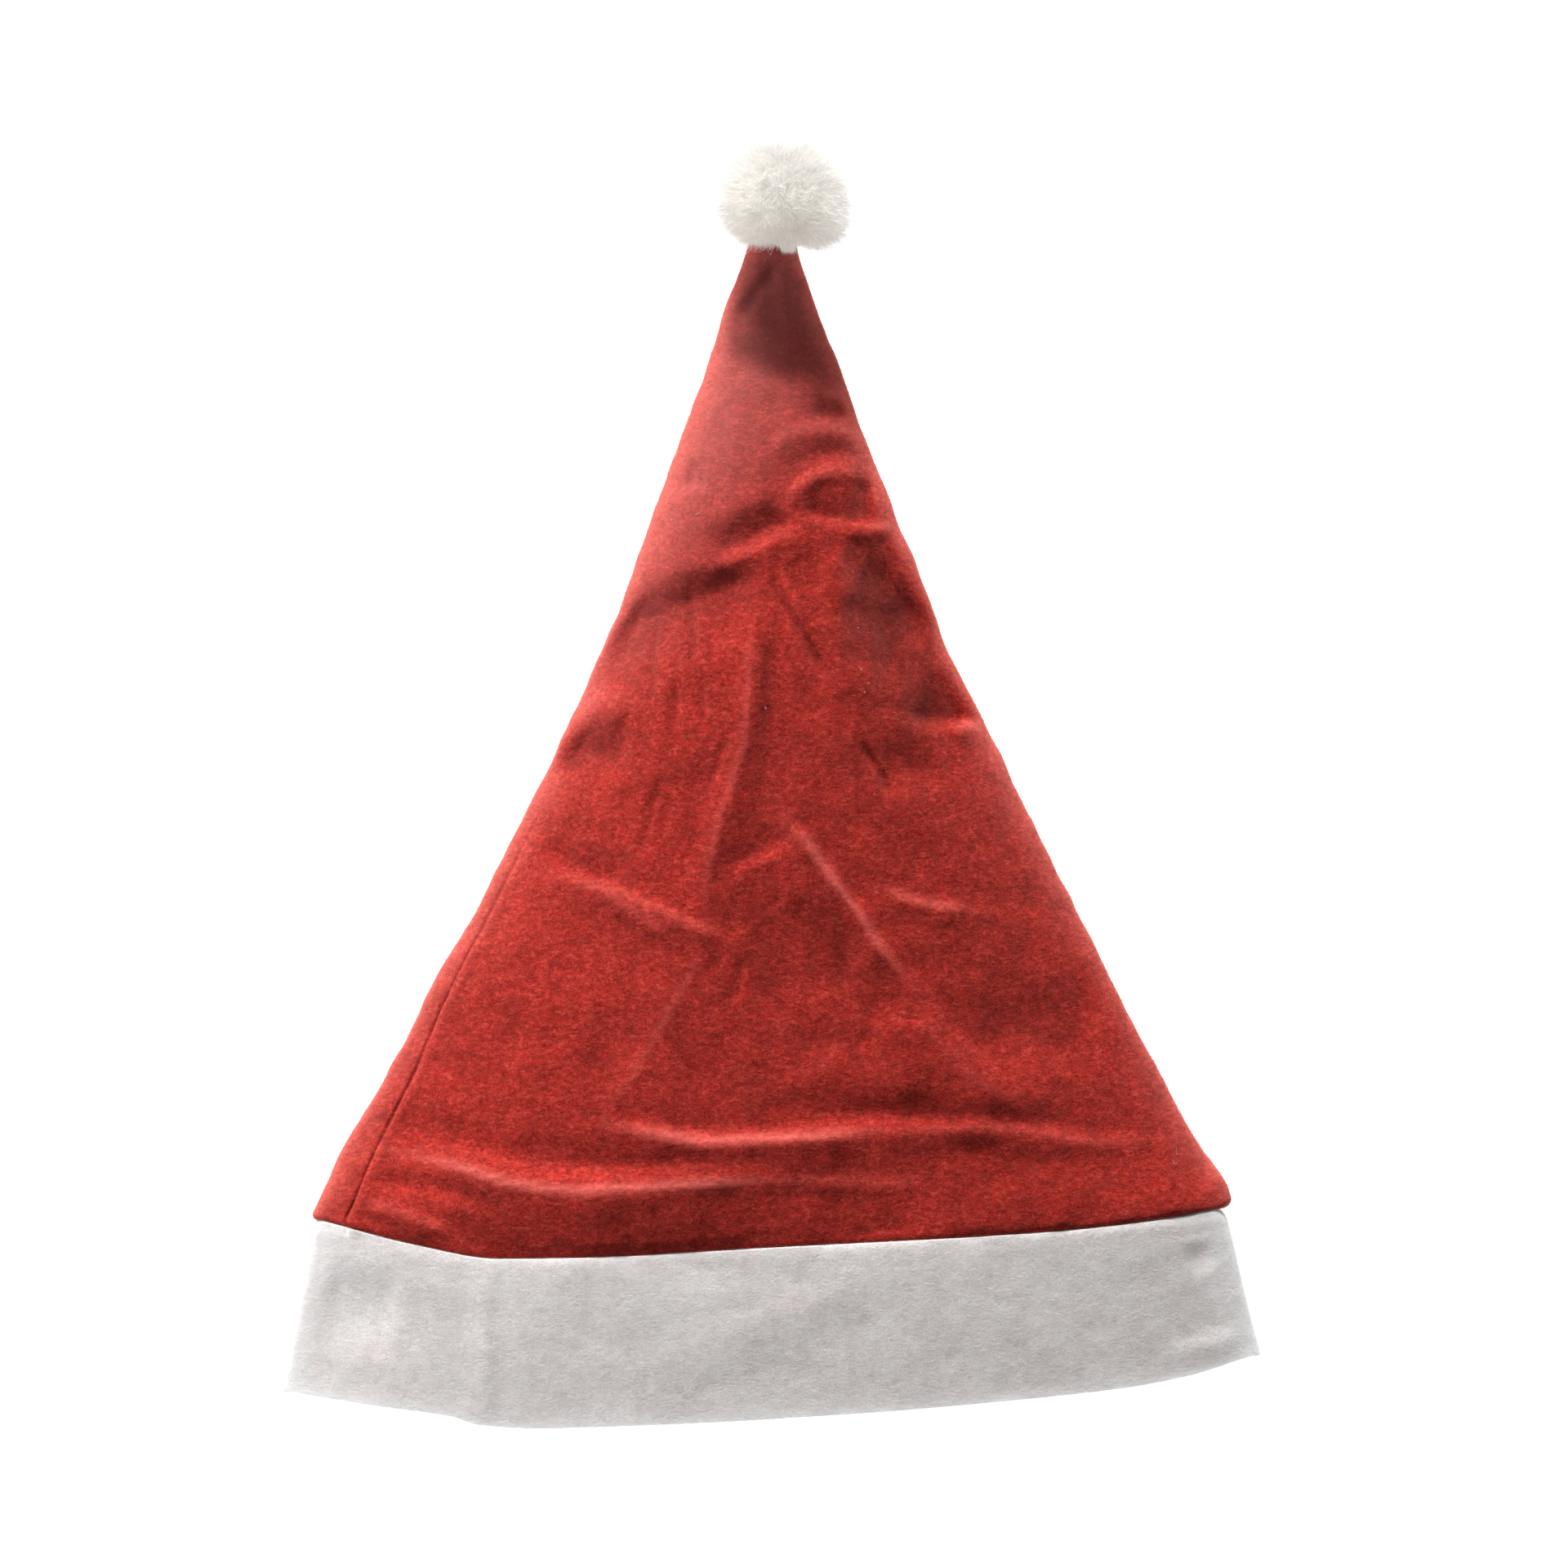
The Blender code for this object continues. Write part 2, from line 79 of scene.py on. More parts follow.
# Sections of the flattened hat. up is how far above the mouth they lie, share how far down the
# band, fold is the radius of the two side folds and lift the height of the back over the floor.
CROWN_SECTIONS = (
    ("name", "up", "left_x", "right_x", "height", "fold", "lift"),
    ("mouth", 0.0, -139.4, 138.5, 21.8, 4.2, 0.0),
    ("roll", 1.5, -139.8, 140.4, 22.0, 4.2, 0.0),
    ("lip", 3.0, -139.2, 141.0, 22.2, 4.1, 0.0),
    ("shoulder", 6.3, -137.4, 140.2, 22.5, 3.9, 0.0),
    ("hem", 12.5, -134.5, 136.0, 23.0, 3.5, 0.0),
    ("skirt", 19.0, -131.6, 131.7, 23.4, 3.2, 0.0),
    ("low_belly", 49.0, -115.0, 115.5, 24.6, 2.8, 0.0),
    ("belly", 79.0, -98.6, 100.1, 24.8, 2.8, 0.0),
    ("high_belly", 109.0, -82.0, 85.0, 24.6, 2.8, 0.0),
    ("waist", 139.0, -66.9, 70.1, 24.3, 2.7, 0.0),
    ("chest", 169.0, -53.0, 55.9, 22.8, 2.7, 0.0),
    ("shaft", 199.0, -41.2, 44.3, 20.2, 2.7, 0.0),
    ("throat", 229.0, -30.4, 32.3, 16.2, 2.7, 0.0),
    ("neck", 259.0, -19.8, 20.9, 11.8, 2.6, 1.6),
    ("collar", 289.0, -8.8, 10.2, 7.6, 2.6, 8.2),
    ("tip", 301.0, -4.4, 7.0, 5.5, 2.6, 11.2),
)
BAND_SECTIONS = (
    ("name", "share", "left_x", "right_x", "height", "fold", "lift"),
    ("seam", 0.0, -138.35, 137.45, 19.7, 3.15, 1.05),
    ("lap", 0.01, -138.9, 138.3, 21.0, 3.75, 0.8),
    ("bead", 0.06, -140.3, 139.7, 21.6, 4.0, 0.5),
    ("bulge", 0.13, -141.2, 140.6, 22.1, 4.1, 0.1),
    ("middle", 0.52, -144.8, 144.6, 21.6, 3.8, 0.0),
    ("brim", 1.0, -BRIM_WIDTH / 2, BRIM_WIDTH / 2, 20.0, 3.4, 0.0),
)

# How far the mouth and the brim sag below a straight line, across the hat from left to right
MOUTH_SAG = (
    ("across", "drop"),
    (0.00, 0.0),
    (0.10, 7.0),
    (0.20, 11.6),
    (0.28, 11.5),
    (0.50, 9.0),
    (0.82, 5.3),
    (0.95, 2.0),
    (1.00, 0.0),
)
BRIM_SAG = (
    ("across", "drop"),
    (0.00, 0.0),
    (0.10, 5.4),
    (0.17, 8.8),
    (0.20, 11.7),
    (0.27, 13.4),
    (0.37, 13.5),
    (0.57, 12.5),
    (0.77, 9.9),
    (0.87, 7.8),
    (0.93, 5.3),
    (1.00, 0.0),
)

# The turned side seam: how far it lies from the left edge, and how deep its groove is
SIDE_SEAM = (
    ("up", "inset", "depth"),
    (0.0, 10.5, 0.9),
    (41.0, 9.2, 0.8),
    (62.0, 6.9, 0.7),
    (88.0, 5.4, 0.5),
    (106.0, 4.6, 0.4),
    (150.0, 4.4, 0.0),
    (301.0, 4.4, 0.0),
)

# Mesh steps of the felt: rows up the crown and down the band, and columns round them
CROWN_ROWS = (
    ("name", "from", "to", "steps"),
    ("lip", 0.0, 6.0, 10),
    ("body", 6.0, CROWN_LENGTH, 210),
)
BAND_ROWS = (
    ("name", "from", "to", "steps"),
    ("seam", 0.0, 0.015, 6),
    ("bead", 0.015, 0.12, 12),
    ("body", 0.12, 1.0, 56),
)
COLUMNS = (
    ("piece", "front", "fold", "back"),
    ("crown", 194, 8, 44),
    ("band", 246, 8, 50),
)
SHARE_SAMPLES = 1500
SEAM_CROWDING = 4.0
SEAM_CROWD_REACH = 3.0

# The band's tucked edge follows every second row of the crown's lip, from the inside out
TUCK_ROWS = slice(10, 1, -2)

# The seam's groove on its left and right, and the felt puffed up on its right
GROOVE_LEFT = 0.7
GROOVE_RIGHT = 0.35
PUFF_SHARE = 0.5
PUFF_OFFSET = 2.0
PUFF_WIDTH = 1.6

# Folds and dents of the front, as in the part, and finer ones. rise is their height, below zero for
# a valley. left and right are how far they reach on each side of the route. crisp is 0 for a soft
# hump and 1 for a sharp crease. The next column, above zero, paints a thin highlight along the crest,
# and below zero paints shade over the whole dent.
END_RISE = 0.2
TAPER_SHARE = 0.25
CREASE_POWER = 1.3
CROWN_FOLDS = (
    ("name", "rise", "left", "right", "crisp", "worn", "route"),
    ("high_edge_dent", -2.2, 7.0, 3.0, 0.5, -0.3, ((12, 113), (18, 112.5), (24, 113.5))),
    ("high_arc", 1.1, 4.5, 7.0, 0.3, 0.15, ((0, 99), (4, 104), (10, 107), (18, 107.5), (30, 106.5))),
    ("high_hollow", -0.8, 5.0, 3.0, 0.4, 0.0, ((4, 91), (9, 96), (15, 99.5), (22, 101), (29, 101))),
    ("small_arc", 1.0, 3.5, 4.0, 0.4, 0.15, ((4, 83), (8, 89), (14, 93.5), (22, 95), (30, 94))),
    ("deep_dent", -3.0, 12.0, 3.0, 0.5, -0.35, ((9, 83.5), (18, 81), (30, 79.5))),
    ("deep_dent_side", -1.5, 7.0, 3.0, 0.3, -0.4, ((29, 79), (29.5, 94))),
    ("dent_lip", 1.1, 2.5, 5.0, 0.4, 0.3, ((22, 77), (30, 77.5), (39, 78.5))),
    ("dent_floor", -2.8, 14.0, 12.0, 0.2, -0.25, ((20, 69), (29, 66), (40, 65))),
    ("right_dent", -3.6, 20.0, 12.0, 0.3, -0.5, ((20, 56), (36, 50.5), (43, 52.5), (48, 58))),
    ("right_dent_low", -1.4, 10.0, 8.0, 0.2, -0.35, ((20, 42), (42, 38))),
    ("low_right_dent", -4.2, 16.0, 4.0, 0.5, -0.35, ((42, 21), (54, 19.5), (65, 21.5))),
    ("low_right_lip", 1.2, 3.0, 7.0, 0.4, 0.4, ((54, 16.5), (67, 17.5))),
    ("low_right_shade", -2.6, 14.0, 10.0, 0.2, -0.25, ((32, 4), (52, 5))),
    ("right_shade", -1.2, 16.0, 16.0, 0.0, -0.45, ((28, 74), (36, 55), (44, 30), (48, 6))),
    ("tip_valley", -1.2, 4.5, 3.5, 0.3, -0.4, ((-11, 141), (-4, 150), (3, 159))),
    ("tip_dent", -0.6, 3.0, 3.0, 0.3, -0.4, ((7, 153), (11, 151))),
    ("tip_shade", -0.9, 8.0, 6.0, 0.0, -0.35, ((-14, 134), (3, 126), (12, 122))),
    ("high_nick", -1.4, 9.0, 4.0, 0.4, 0.0, ((-26, 92.5), (-19, 92.5))),
    ("upper_valley", -3.2, 11.0, 4.0, 0.5, -0.15, ((-19, 68.5), (-8, 73), (0, 77), (9, 80.5))),
    ("upper_ridge", 0.8, 6.0, 10.0, 0.1, 0.0, ((-17, 66.5), (-6, 69.5), (2, 73), (10, 76.5))),
    ("main_valley", -4.3, 11.0, 20.0, 0.65, -0.4,
     ((-64, 39), (-48, 46), (-38, 50), (-28, 54), (-15, 59), (2, 66))),
    ("thin_valley", -1.5, 2.0, 3.5, 0.6, -0.3, ((1, 61), (6, 52), (12, 42), (18, 31))),
    ("spine", 2.2, 9.0, 8.0, 0.7, 0.15,
     ((-18, -45), (-18.5, -28), (-15, -12), (-11, 0), (-7, 12), (-5.5, 30), (-4, 60))),
    ("spine_low", 1.8, 14.0, 20.0, 0.5, 0.15,
     ((-50, -101), (-41, -89), (-33, -75), (-23, -58), (-18, -45))),
    ("centre_ridge", 2.2, 10.0, 14.0, 0.4, 0.0, ((30, 18), (25, 34), (22, 48), (21, 62), (20, 74))),
    ("left_edge_ridge", 1.5, 8.0, 12.0, 0.5, 0.0, ((-64, 23.5), (-50, 24), (-42, 22))),
    ("left_edge_dent", -3.2, 13.0, 10.0, 0.4, -0.45, ((-70, 11), (-58, 10), (-50, 9), (-40, 9))),
    ("spine_nick", -1.0, 2.5, 1.5, 0.6, 0.0, ((-17.5, 0), (-13.5, 13))),
    ("left_streak", -1.1, 3.5, 1.5, 0.5, -0.2, ((-28, 14), (-28.5, 33))),
    ("left_streak_top", -0.8, 3.0, 1.5, 0.5, -0.2, ((-23, 36), (-24, 58))),
    ("left_streak_outer", -0.7, 3.0, 1.5, 0.5, -0.2, ((-36, 25), (-35, 50))),
    ("spine_valley", -0.8, 3.0, 4.0, 0.4, -0.2, ((-1, 10), (-1, 30), (0, 46))),
    ("right_streak", -0.9, 1.5, 2.5, 0.5, -0.25, ((27, 14), (33, 4), (39, -6))),
    ("left_streak_high", -1.0, 3.5, 1.5, 0.5, -0.2, ((-20, 17), (-20, 31))),
    ("left_streak_low", -0.9, 3.5, 1.5, 0.5, -0.2, ((-39, -22), (-33, 2))),
    ("short_valley", -0.9, 12.0, 2.0, 0.4, 0.0, ((-13, -25.5), (0, -20), (7, -16))),
    ("short_ridge", 0.35, 3.0, 6.0, 0.3, 0.0, ((-12, -29), (-2, -24), (8, -18))),
    ("main_ridge", 2.6, 4.5, 20.0, 0.6, 0.45,
     ((3, -11), (10, -18), (18, -29), (25, -38), (32, -49), (42, -62))),
    ("main_ridge_low", 2.2, 9.0, 22.0, 0.3, 0.1, ((42, -62), (49, -78), (62, -91), (79, -99.5))),
    ("side_ridge", 1.1, 2.5, 7.0, 0.5, 0.35, ((33, -31.5), (40, -35), (50, -37.5), (61, -39))),
    ("left_valley", -2.6, 10.0, 3.0, 0.5, 0.0, ((-70, -18), (-60, -25.5), (-50, -28.5), (-42, -31))),
    ("left_ridge", 1.3, 3.0, 10.0, 0.5, 0.22,
     ((-68, -28), (-50, -33), (-38, -37), (-28, -42), (-10, -48))),
    ("thin_left_ridge", 0.6, 2.0, 4.0, 0.5, 0.2, ((-50, -35), (-40, -40.5), (-30, -47))),
    ("low_streak", -1.1, 3.5, 2.0, 0.4, 0.0, ((-11, -68), (-8, -53))),
    ("centre_facet", -2.4, 24.0, 22.0, 0.0, -0.25, ((-10, -54), (14, -56), (32, -55))),
    ("low_facet", -1.5, 13.0, 12.0, 0.3, 0.0, ((4, -77), (38, -76))),
    ("right_facet", -2.4, 30.0, 14.0, 0.2, -0.3, ((58, -74), (102, -78))),
    ("low_hollow", -1.6, 10.0, 3.0, 0.4, -0.2, ((6, -100.5), (40, -101), (64, -101.5))),
    ("low_hollow_right", -0.5, 6.0, 3.0, 0.3, 0.0, ((62, -102.5), (98, -104))),
    ("hem_ridge_middle", 3.4, 4.5, 17.0, 0.6, 0.7,
     ((-50, -104), (-22, -109.3), (0, -108.5), (34, -106))),
    ("hem_ridge_right", 1.0, 4.0, 8.0, 0.3, 0.15,
     ((30, -107), (60, -105), (75, -106), (100, -110), (121, -109))),
    ("hem_valley", -1.2, 10.0, 3.0, 0.4, 0.0,
     ((-116, -105), (-95, -109), (-80, -113), (-60, -116), (-30, -116))),
    ("hem_ridge_left", 3.8, 8.0, 24.0, 0.5, 0.75,
     ((-118, -112), (-95, -117), (-80, -122), (-60, -124.5), (-20, -122), (8, -121))),
    ("hem_ridge_faint", 0.6, 3.0, 6.0, 0.4, 0.15, ((5, -121), (50, -122.5))),
    ("corner_valley", -1.3, 5.0, 3.0, 0.3, 0.0, ((-123, -121), (-98, -124), (-85, -129))),
    ("corner_ridge", 1.3, 4.0, 5.0, 0.3, 0.2, ((-126, -127.5), (-108, -132.5), (-96, -138))),
)
BAND_FOLDS = (
    ("name", "rise", "left", "right", "crisp", "worn", "route"),
    ("corner_dent", -1.4, 16.0, 18.0, 0.1, -0.1, ((-138, -158), (-112, -161))),
    ("upright_crease", 0.8, 8.0, 5.0, 0.6, 0.0, ((-86, -198), (-87, -145))),
    ("sloping_ridge", 0.45, 9.0, 14.0, 0.0, 0.0, ((-32, -174), (-11, -168), (34, -150))),
    ("wedge_hollow", -0.3, 8.0, 8.0, 0.0, 0.0, ((-34, -146), (16, -149))),
    ("right_ridge", 0.6, 5.0, 8.0, 0.2, 0.0, ((122, -174), (147, -168))),
    ("right_dent", -0.7, 6.0, 6.0, 0.1, 0.0, ((126, -146), (137, -143))),
)
# Where the painted highlight of a crest lies beside its route, and how wide it is
CREST_OFFSET = 1.0
CREST_WIDTH = 1.4

# Shares of the band's length at which its folds are full, and its part of the side seam has ended
BAND_FOLD_START = 0.12
BAND_SEAM_END = 0.06

# A painted glow makes the felt paler along the hat's edges and the band's lower edge
RIM_FADE = 3.6
BAND_RIM_FADE = 5.5
RIM_SHARE = 0.85
BRIM_RIM_FADE = 2.5
BRIM_LENGTH = 43.0

# and painted shade darkens the felt in the dents, and a painted shadow of the pompom darkens the tip
DENT_SHADE = 0.65
TIP_SHADE = 0.27
TIP_SHADE_Y = 120.0
TIP_SHADE_REACH = 40.0

# How the crown's lip turns down into the seam, and the puckers on both sides of it
LIP_TURN = 0.35
LIP_TURN_REACH = 1.2
LIP_THINNING = 1.1
LIP_THINNING_REACH = 4.0
PUCKER_RISE = 0.35
PUCKER_REACH = 7.0
PUCKER_LENGTH = 9.0
PUCKER_STRETCH = (1.0, 0.3, 0.3)
BAND_PUCKER_START = 0.01
BAND_PUCKER_REACH = 0.12

# Unevenness of the felt, over its whole surface: waves of three lengths, and long streaks
WAVE_GAIN = 2.0
FELT_WAVES = (
    ("length", "rise"),
    (26.0, 0.55),
    (9.0, 0.28),
    (3.6, 0.12),
)
STREAK_LENGTH = 5.5
STREAK_STRETCH = (1.0, 0.16, 1.0)
STREAK_RISE = 0.20
CROWN_UNEVENNESS = 0.8
BAND_UNEVENNESS = 0.25
BAND_UNEVEN_START = 0.04
CROWN_SEED = 1.0
BAND_SEED = 4.0
PUCKER_SEED = 3.0

# Felt finishes. Colours are linear RGB: deep in the pits, body of the wool, pale on its fibres, rim
# the painted glow on the hat's edges and painted highlight on crests, haze a painted glare where the
# low light veils the felt, and tint of the sheen. contrast and patch say how uneven the felt is,
# bloom how strong the painted glare is, rim_glow how brightly the painted edges glow, and mouth_gain,
# the last, how much brighter the felt is near the mouth.
FELTS = {
    "red_felt": {
        "deep": (0.28, 0.005, 0.003),
        "body": (0.50, 0.020, 0.012),
        "pale": (0.70, 0.115, 0.088),
        "rim": (0.95, 0.19, 0.155),
        "haze": (0.52, 0.19, 0.175),
        "tint": (1.0, 0.38, 0.32),
        "sheen": 0.25,
        "see_through": 0.05,
        "contrast": 1.35,
        "bloom": 0.42,
        "patch": 0.11,
        "rim_glow": 0.0,
        "mouth_gain": 0.13,
    },
    "white_felt": {
        "deep": (0.87, 0.81, 0.79),
        "body": (0.94, 0.875, 0.855),
        "pale": (0.975, 0.94, 0.93),
        "rim": (0.99, 0.98, 0.975),
        "haze": (0.9, 0.9, 0.9),
        "tint": (1.0, 0.96, 0.95),
        "sheen": 0.25,
        "see_through": 0.6,
        "contrast": 0.6,
        "bloom": 0.0,
        "patch": 0.05,
        "rim_glow": 0.15,
        "mouth_gain": 0.0,
    },
}
FELT_SHADER = {
    "Specular IOR Level": 0.15,
    "Sheen Roughness": 0.55,
    "Subsurface Radius": (1.0, 0.8, 0.8),
    "Subsurface Scale": 0.0012,
}

# The painted glare lies at the upper left, along Y less BLOOM_SLANT times X
BLOOM_FROM = 60.0
BLOOM_FULL = 150.0
BLOOM_SLANT = 1.2
# The felt's tone is brighter towards the mouth, between these places along Y
MOUTH_TONE_FROM = -150.0
MOUTH_TONE_TO = 50.0
UPPER_DIMMING_SHARE = 0.3

# Noises of the materials, their scale in waves a metre, and the ramps that read them
GRAIN_STRETCH = (0.75, 1.25, 1.0)
TURNED_GRAIN = {"Rotation": (0.0, 0.0, 0.9), "Location": (3.1, 1.7, 0.4)}
NOISES = (
    ("name", "Scale", "Detail", "Roughness", "Distortion"),
    ("patches", 55.0, 3.0, 0.6, 0.0),
    ("clouds", 240.0, 3.0, 0.6, 0.0),
    ("mottle", 620.0, 5.0, 0.7, 0.3),
    ("fine", 1900.0, 3.0, 0.7, 0.0),
    ("pits", 1100.0, 3.0, 0.65, 0.0),
    ("curls", 700.0, 2.0, 0.55, 1.4),
    ("turned_curls", 950.0, 2.0, 0.55, 1.4),
    ("fur", 300.0, 2.0, 0.6, 0.0),
)
NOISE_MIDDLE = 0.5
RAMPS = (
    ("name", "low", "high", "to_low", "to_high"),
    ("body", 0.34, 0.62, 0.0, 1.0),
    ("pale", 0.52, 0.78, 0.0, 1.0),
    ("line", 0.035, 0.0, 0.0, 1.0),
    ("pits", 0.42, 0.34, 0.0, 1.0),
    ("grain_tone", 0.3, 0.7, 0.88, 1.1),
    ("worn", 0.3, 0.7, 0.7, 1.15),
    ("roughness", 0.3, 0.7, 0.98, 0.86),
    ("fur_tone", 0.3, 0.7, 0.92, 1.04),
)
PATCH_RANGE = (0.3, 0.7)
CLOUD_RANGE = (0.32, 0.64)
CLOUD_SHARE = 0.7
MOTTLE_SHARE = 0.55
LINE_SHARE = 0.34
PIT_SHARE = 0.5

# Bump of the felt: how much each noise adds to its height
BUMP_SHARES = {"mottle": 1.2, "lines": 0.25, "fine": 0.3, "pits": -0.3}
BUMP = {"Strength": 0.6, "Distance": 0.0004}

# Finishes of loose fibres. glow is a painted glow, light the fur gives off of itself in place of the
# light it passes on, and dim how much darker the fur is painted at the pompom's far side, which faces
# the key light, between the two places along Y.
FIBRES = (
    ("name", "dark", "light", "see_through", "sheen", "glow", "dim"),
    ("red_nap", (0.40, 0.026, 0.018), (0.69, 0.13, 0.10), 0.30, 0.2, 0.0, 0.0),
    ("white_nap", (0.82, 0.78, 0.77), (0.95, 0.92, 0.92), 0.4, 0.1, 0.0, 0.0),
    ("white_fur", (0.95, 0.925, 0.885), (0.99, 0.975, 0.95), 0.25, 0.1, 0.10, 0.11),
    ("white_curl", (0.97, 0.96, 0.94), (1.0, 0.99, 0.98), 0.2, 0.1, 0.07, 0.0),
    ("lint", (0.75, 0.62, 0.58), (0.92, 0.86, 0.82), 0.3, 0.1, 0.0, 0.0),
)
FIBRE_SHADER = {"Roughness": 0.8, "Specular IOR Level": 0.2}
DIM_FROM_Y = 172.0
DIM_TO_Y = 192.0

# A fibre's width at its tip as a share of that at its root, how uneven the widths are, and how far
# fibres stay above the floor
FIBRE_TAPER = 0.45
FIBRE_WIDTHS = (0.6, 0.8)
FIBRE_CLEARANCE = 0.02

# Loose fibres on the felt. They lie more or less across it, more thickly on the side folds and
# thinly on the back and where shade is painted, in the dents and under the pompom.
NAPS = (
    ("name", "count", "shortest", "longest", "width", "lift", "seed"),
    ("crown", 58000, 0.8, 2.2, 0.09, 0.32, 5),
    ("band", 22000, 0.6, 1.9, 0.08, 0.30, 6),
)
NAP_ACROSS = 0.55
NAP_FOLD_SHARE = 2.5
NAP_BACK_SHARE = 0.3
NAP_LEAST_SHARE = 0.1
DENT_THINNING = 1.8
NAP_LEAST_LIFT = 0.3
NAP_CURL = 0.35
NAP_ARCH = 0.6
NAP_TIP_LIFT = 1.2
NAP_ROOT_DEPTH = 0.08
NAP_TWIST = 0.5

# The pompom: its centre, its height over it, and its outline as reaches in millimetres
POMPOM_CENTRE = np.array([3.75, 177.75, 17.1])
POMPOM_HEIGHT = 17.6
POMPOM_OUTLINE = (
    ("angle", "reach"),
    (-180.0, 19.4),
    (-147.0, 16.6),
    (-126.0, 15.8),
    (-95.0, 12.2),
    (-68.0, 13.2),
    (-50.0, 17.8),
    (-34.0, 20.0),
    (-18.0, 19.7),
    (0.0, 18.8),
    (19.0, 18.5),
    (31.0, 17.8),
    (45.0, 18.0),
    (70.0, 17.2),
    (95.0, 17.0),
    (120.0, 18.6),
    (133.0, 18.4),
    (150.0, 19.2),
    (165.0, 19.8),
    (180.0, 19.4),
)

# The core under the fur, as a share of the pompom, and its lumps
HEAD_SHARE = 0.80
HEAD_FINENESS = 5
HEAD_LUMPS = (
    ("rise", "length", "seed"),
    (0.08, 0.30, 31.0),
    (0.05, 0.12, 8.0),
)

# The fur, in tufts that are spread evenly over the core. Lengths are shares of the pompom's reach.
GOLDEN_TURN = np.pi * (1 + 5**0.5)
TUFT_SHAKE = 0.6
TUFT_SEED = 9
FUR_SEED = 100
FUR_PIECES = 3
TUFTS_PER_PIECE = 150
HAIRS_PER_TUFT = 200
HAIR_WIDTH = 0.15
HAIR_POINTS = 4
HAIR_LENGTH = 1.27
HAIR_SHORTENING = 0.42
HAIR_CURL = 0.15
HAIR_BOW = 1.5
TUFT_SHORTENING = 0.14
TUFT_SPREAD = 0.15
TUFT_GATHER = 0.9
TUFT_LEAN = 0.10
ROOT_SHARE = 0.97 * HEAD_SHARE

# Tufts that fall over the crown's tip and form the lobe at the lower right
TIP_TUFTS = (
    ("name", "x", "y", "z", "hairs", "spread"),
    ("far_left", -11.5, 168.0, 16.0, 300, 1.6),
    ("left_edge", -7.0, 166.6, 17.5, 300, 1.1),
    ("left", -4.0, 165.9, 19.0, 300, 0.7),
    ("left_middle", -1.0, 165.4, 20.0, 300, 0.6),
    ("left_spike", 0.6, 164.8, 20.0, 200, 0.5),
    ("tongue_left", 2.8, 163.4, 20.5, 420, 0.7),
    ("tongue", 4.8, 161.6, 20.5, 520, 0.8),
    ("tongue_right", 6.8, 161.4, 19.5, 420, 0.7),
    ("right", 9.4, 164.6, 17.6, 360, 1.0),
    ("lobe", 14.0, 165.4, 15.6, 500, 1.5),
    ("lobe_right", 19.0, 167.4, 14.5, 500, 1.6),
)
TIP_SEED = 77
TIP_ROOT_SHARE = 0.45
TIP_ROOT_LIFT = np.array([0.0, 0.0, 4.0])
TIP_ROOT_SPREAD = 1.8
TIP_SPREAD = (1.0, 0.7, 0.35)
TIP_BEND = 0.5
TIP_ARCH = np.array([0.0, 0.0, 1.2])
TIP_WIDTH = 1.3 * HAIR_WIDTH

# Small bright locks with a painted glow that lie on the fur. turn is in degrees, bow is how far the
# middle is bent.
CURLS = (
    ("name", "x", "y", "length", "turn", "bow"),
    ("high_left", 1.4, 181.4, 2.2, 8.0, 0.5),
    ("high_right", 3.8, 179.8, 2.4, -28.0, 0.4),
    ("low_left", 0.6, 174.6, 1.8, 24.0, -0.5),
    ("side", 7.5, 177.6, 2.0, -8.0, 0.4),
    ("lobe_high", 15.5, 168.4, 3.6, -16.0, -0.8),
    ("lobe_low", 17.0, 166.8, 3.8, -10.0, -0.8),
)
CURL_SEED = 55
CURL_HAIRS = 12
CURL_SPREAD = 0.28
CURL_WIDTH = 0.8 * HAIR_WIDTH
CURL_HEIGHT = 1.06 * POMPOM_HEIGHT
CURL_ROUNDNESS = 1.05
CURL_HALF = 0.5
CURL_UNEVENNESS = 0.1
CURL_LIFT = np.array([0.0, 0.0, 0.5])
CURL_EASE = 0.6

# Loose hairs and specks that lie on the crown's front
LINT = (
    ("name", "x", "y", "length", "turn", "curl", "width"),
    ("fork_stem", 124.2, -112.2, 2.6, 95.0, 0.3, 0.14),
    ("fork_left", 123.6, -114.9, 2.2, 120.0, 0.2, 0.12),
    ("fork_right", 125.1, -115.0, 2.4, 60.0, -0.2, 0.12),
    ("speck_high", 27.5, 48.0, 0.7, 20.0, 0.1, 0.30),
    ("speck_middle", 27.8, 34.5, 0.8, 70.0, 0.1, 0.26),
    ("speck_right", 29.8, 31.2, 0.7, 150.0, 0.1, 0.28),
    ("speck_low", 29.2, 27.5, 0.8, 40.0, 0.1, 0.26),
    ("speck_centre", -1.0, 23.8, 1.2, 100.0, 0.2, 0.20),
    ("speck_left", -30.8, 81.2, 1.0, 30.0, 0.2, 0.20),
    ("hair_left", -21.8, 82.0, 2.2, 10.0, 0.4, 0.12),
    ("speck_right_high", 9.2, 78.0, 0.9, 60.0, 0.1, 0.22),
    ("hair_right", 52.2, -37.5, 1.8, 15.0, 0.3, 0.12),
)
LINT_LIFT = 0.35

# The camera's lens, how wide its view is at the floor, and where it looks
LENS = 200.0
SENSOR_WIDTH = 36.0
VIEW_WIDTH = 0.480
VIEW_MIDDLE = (0.00425, 0.0002)
CLIP_END = 20.0

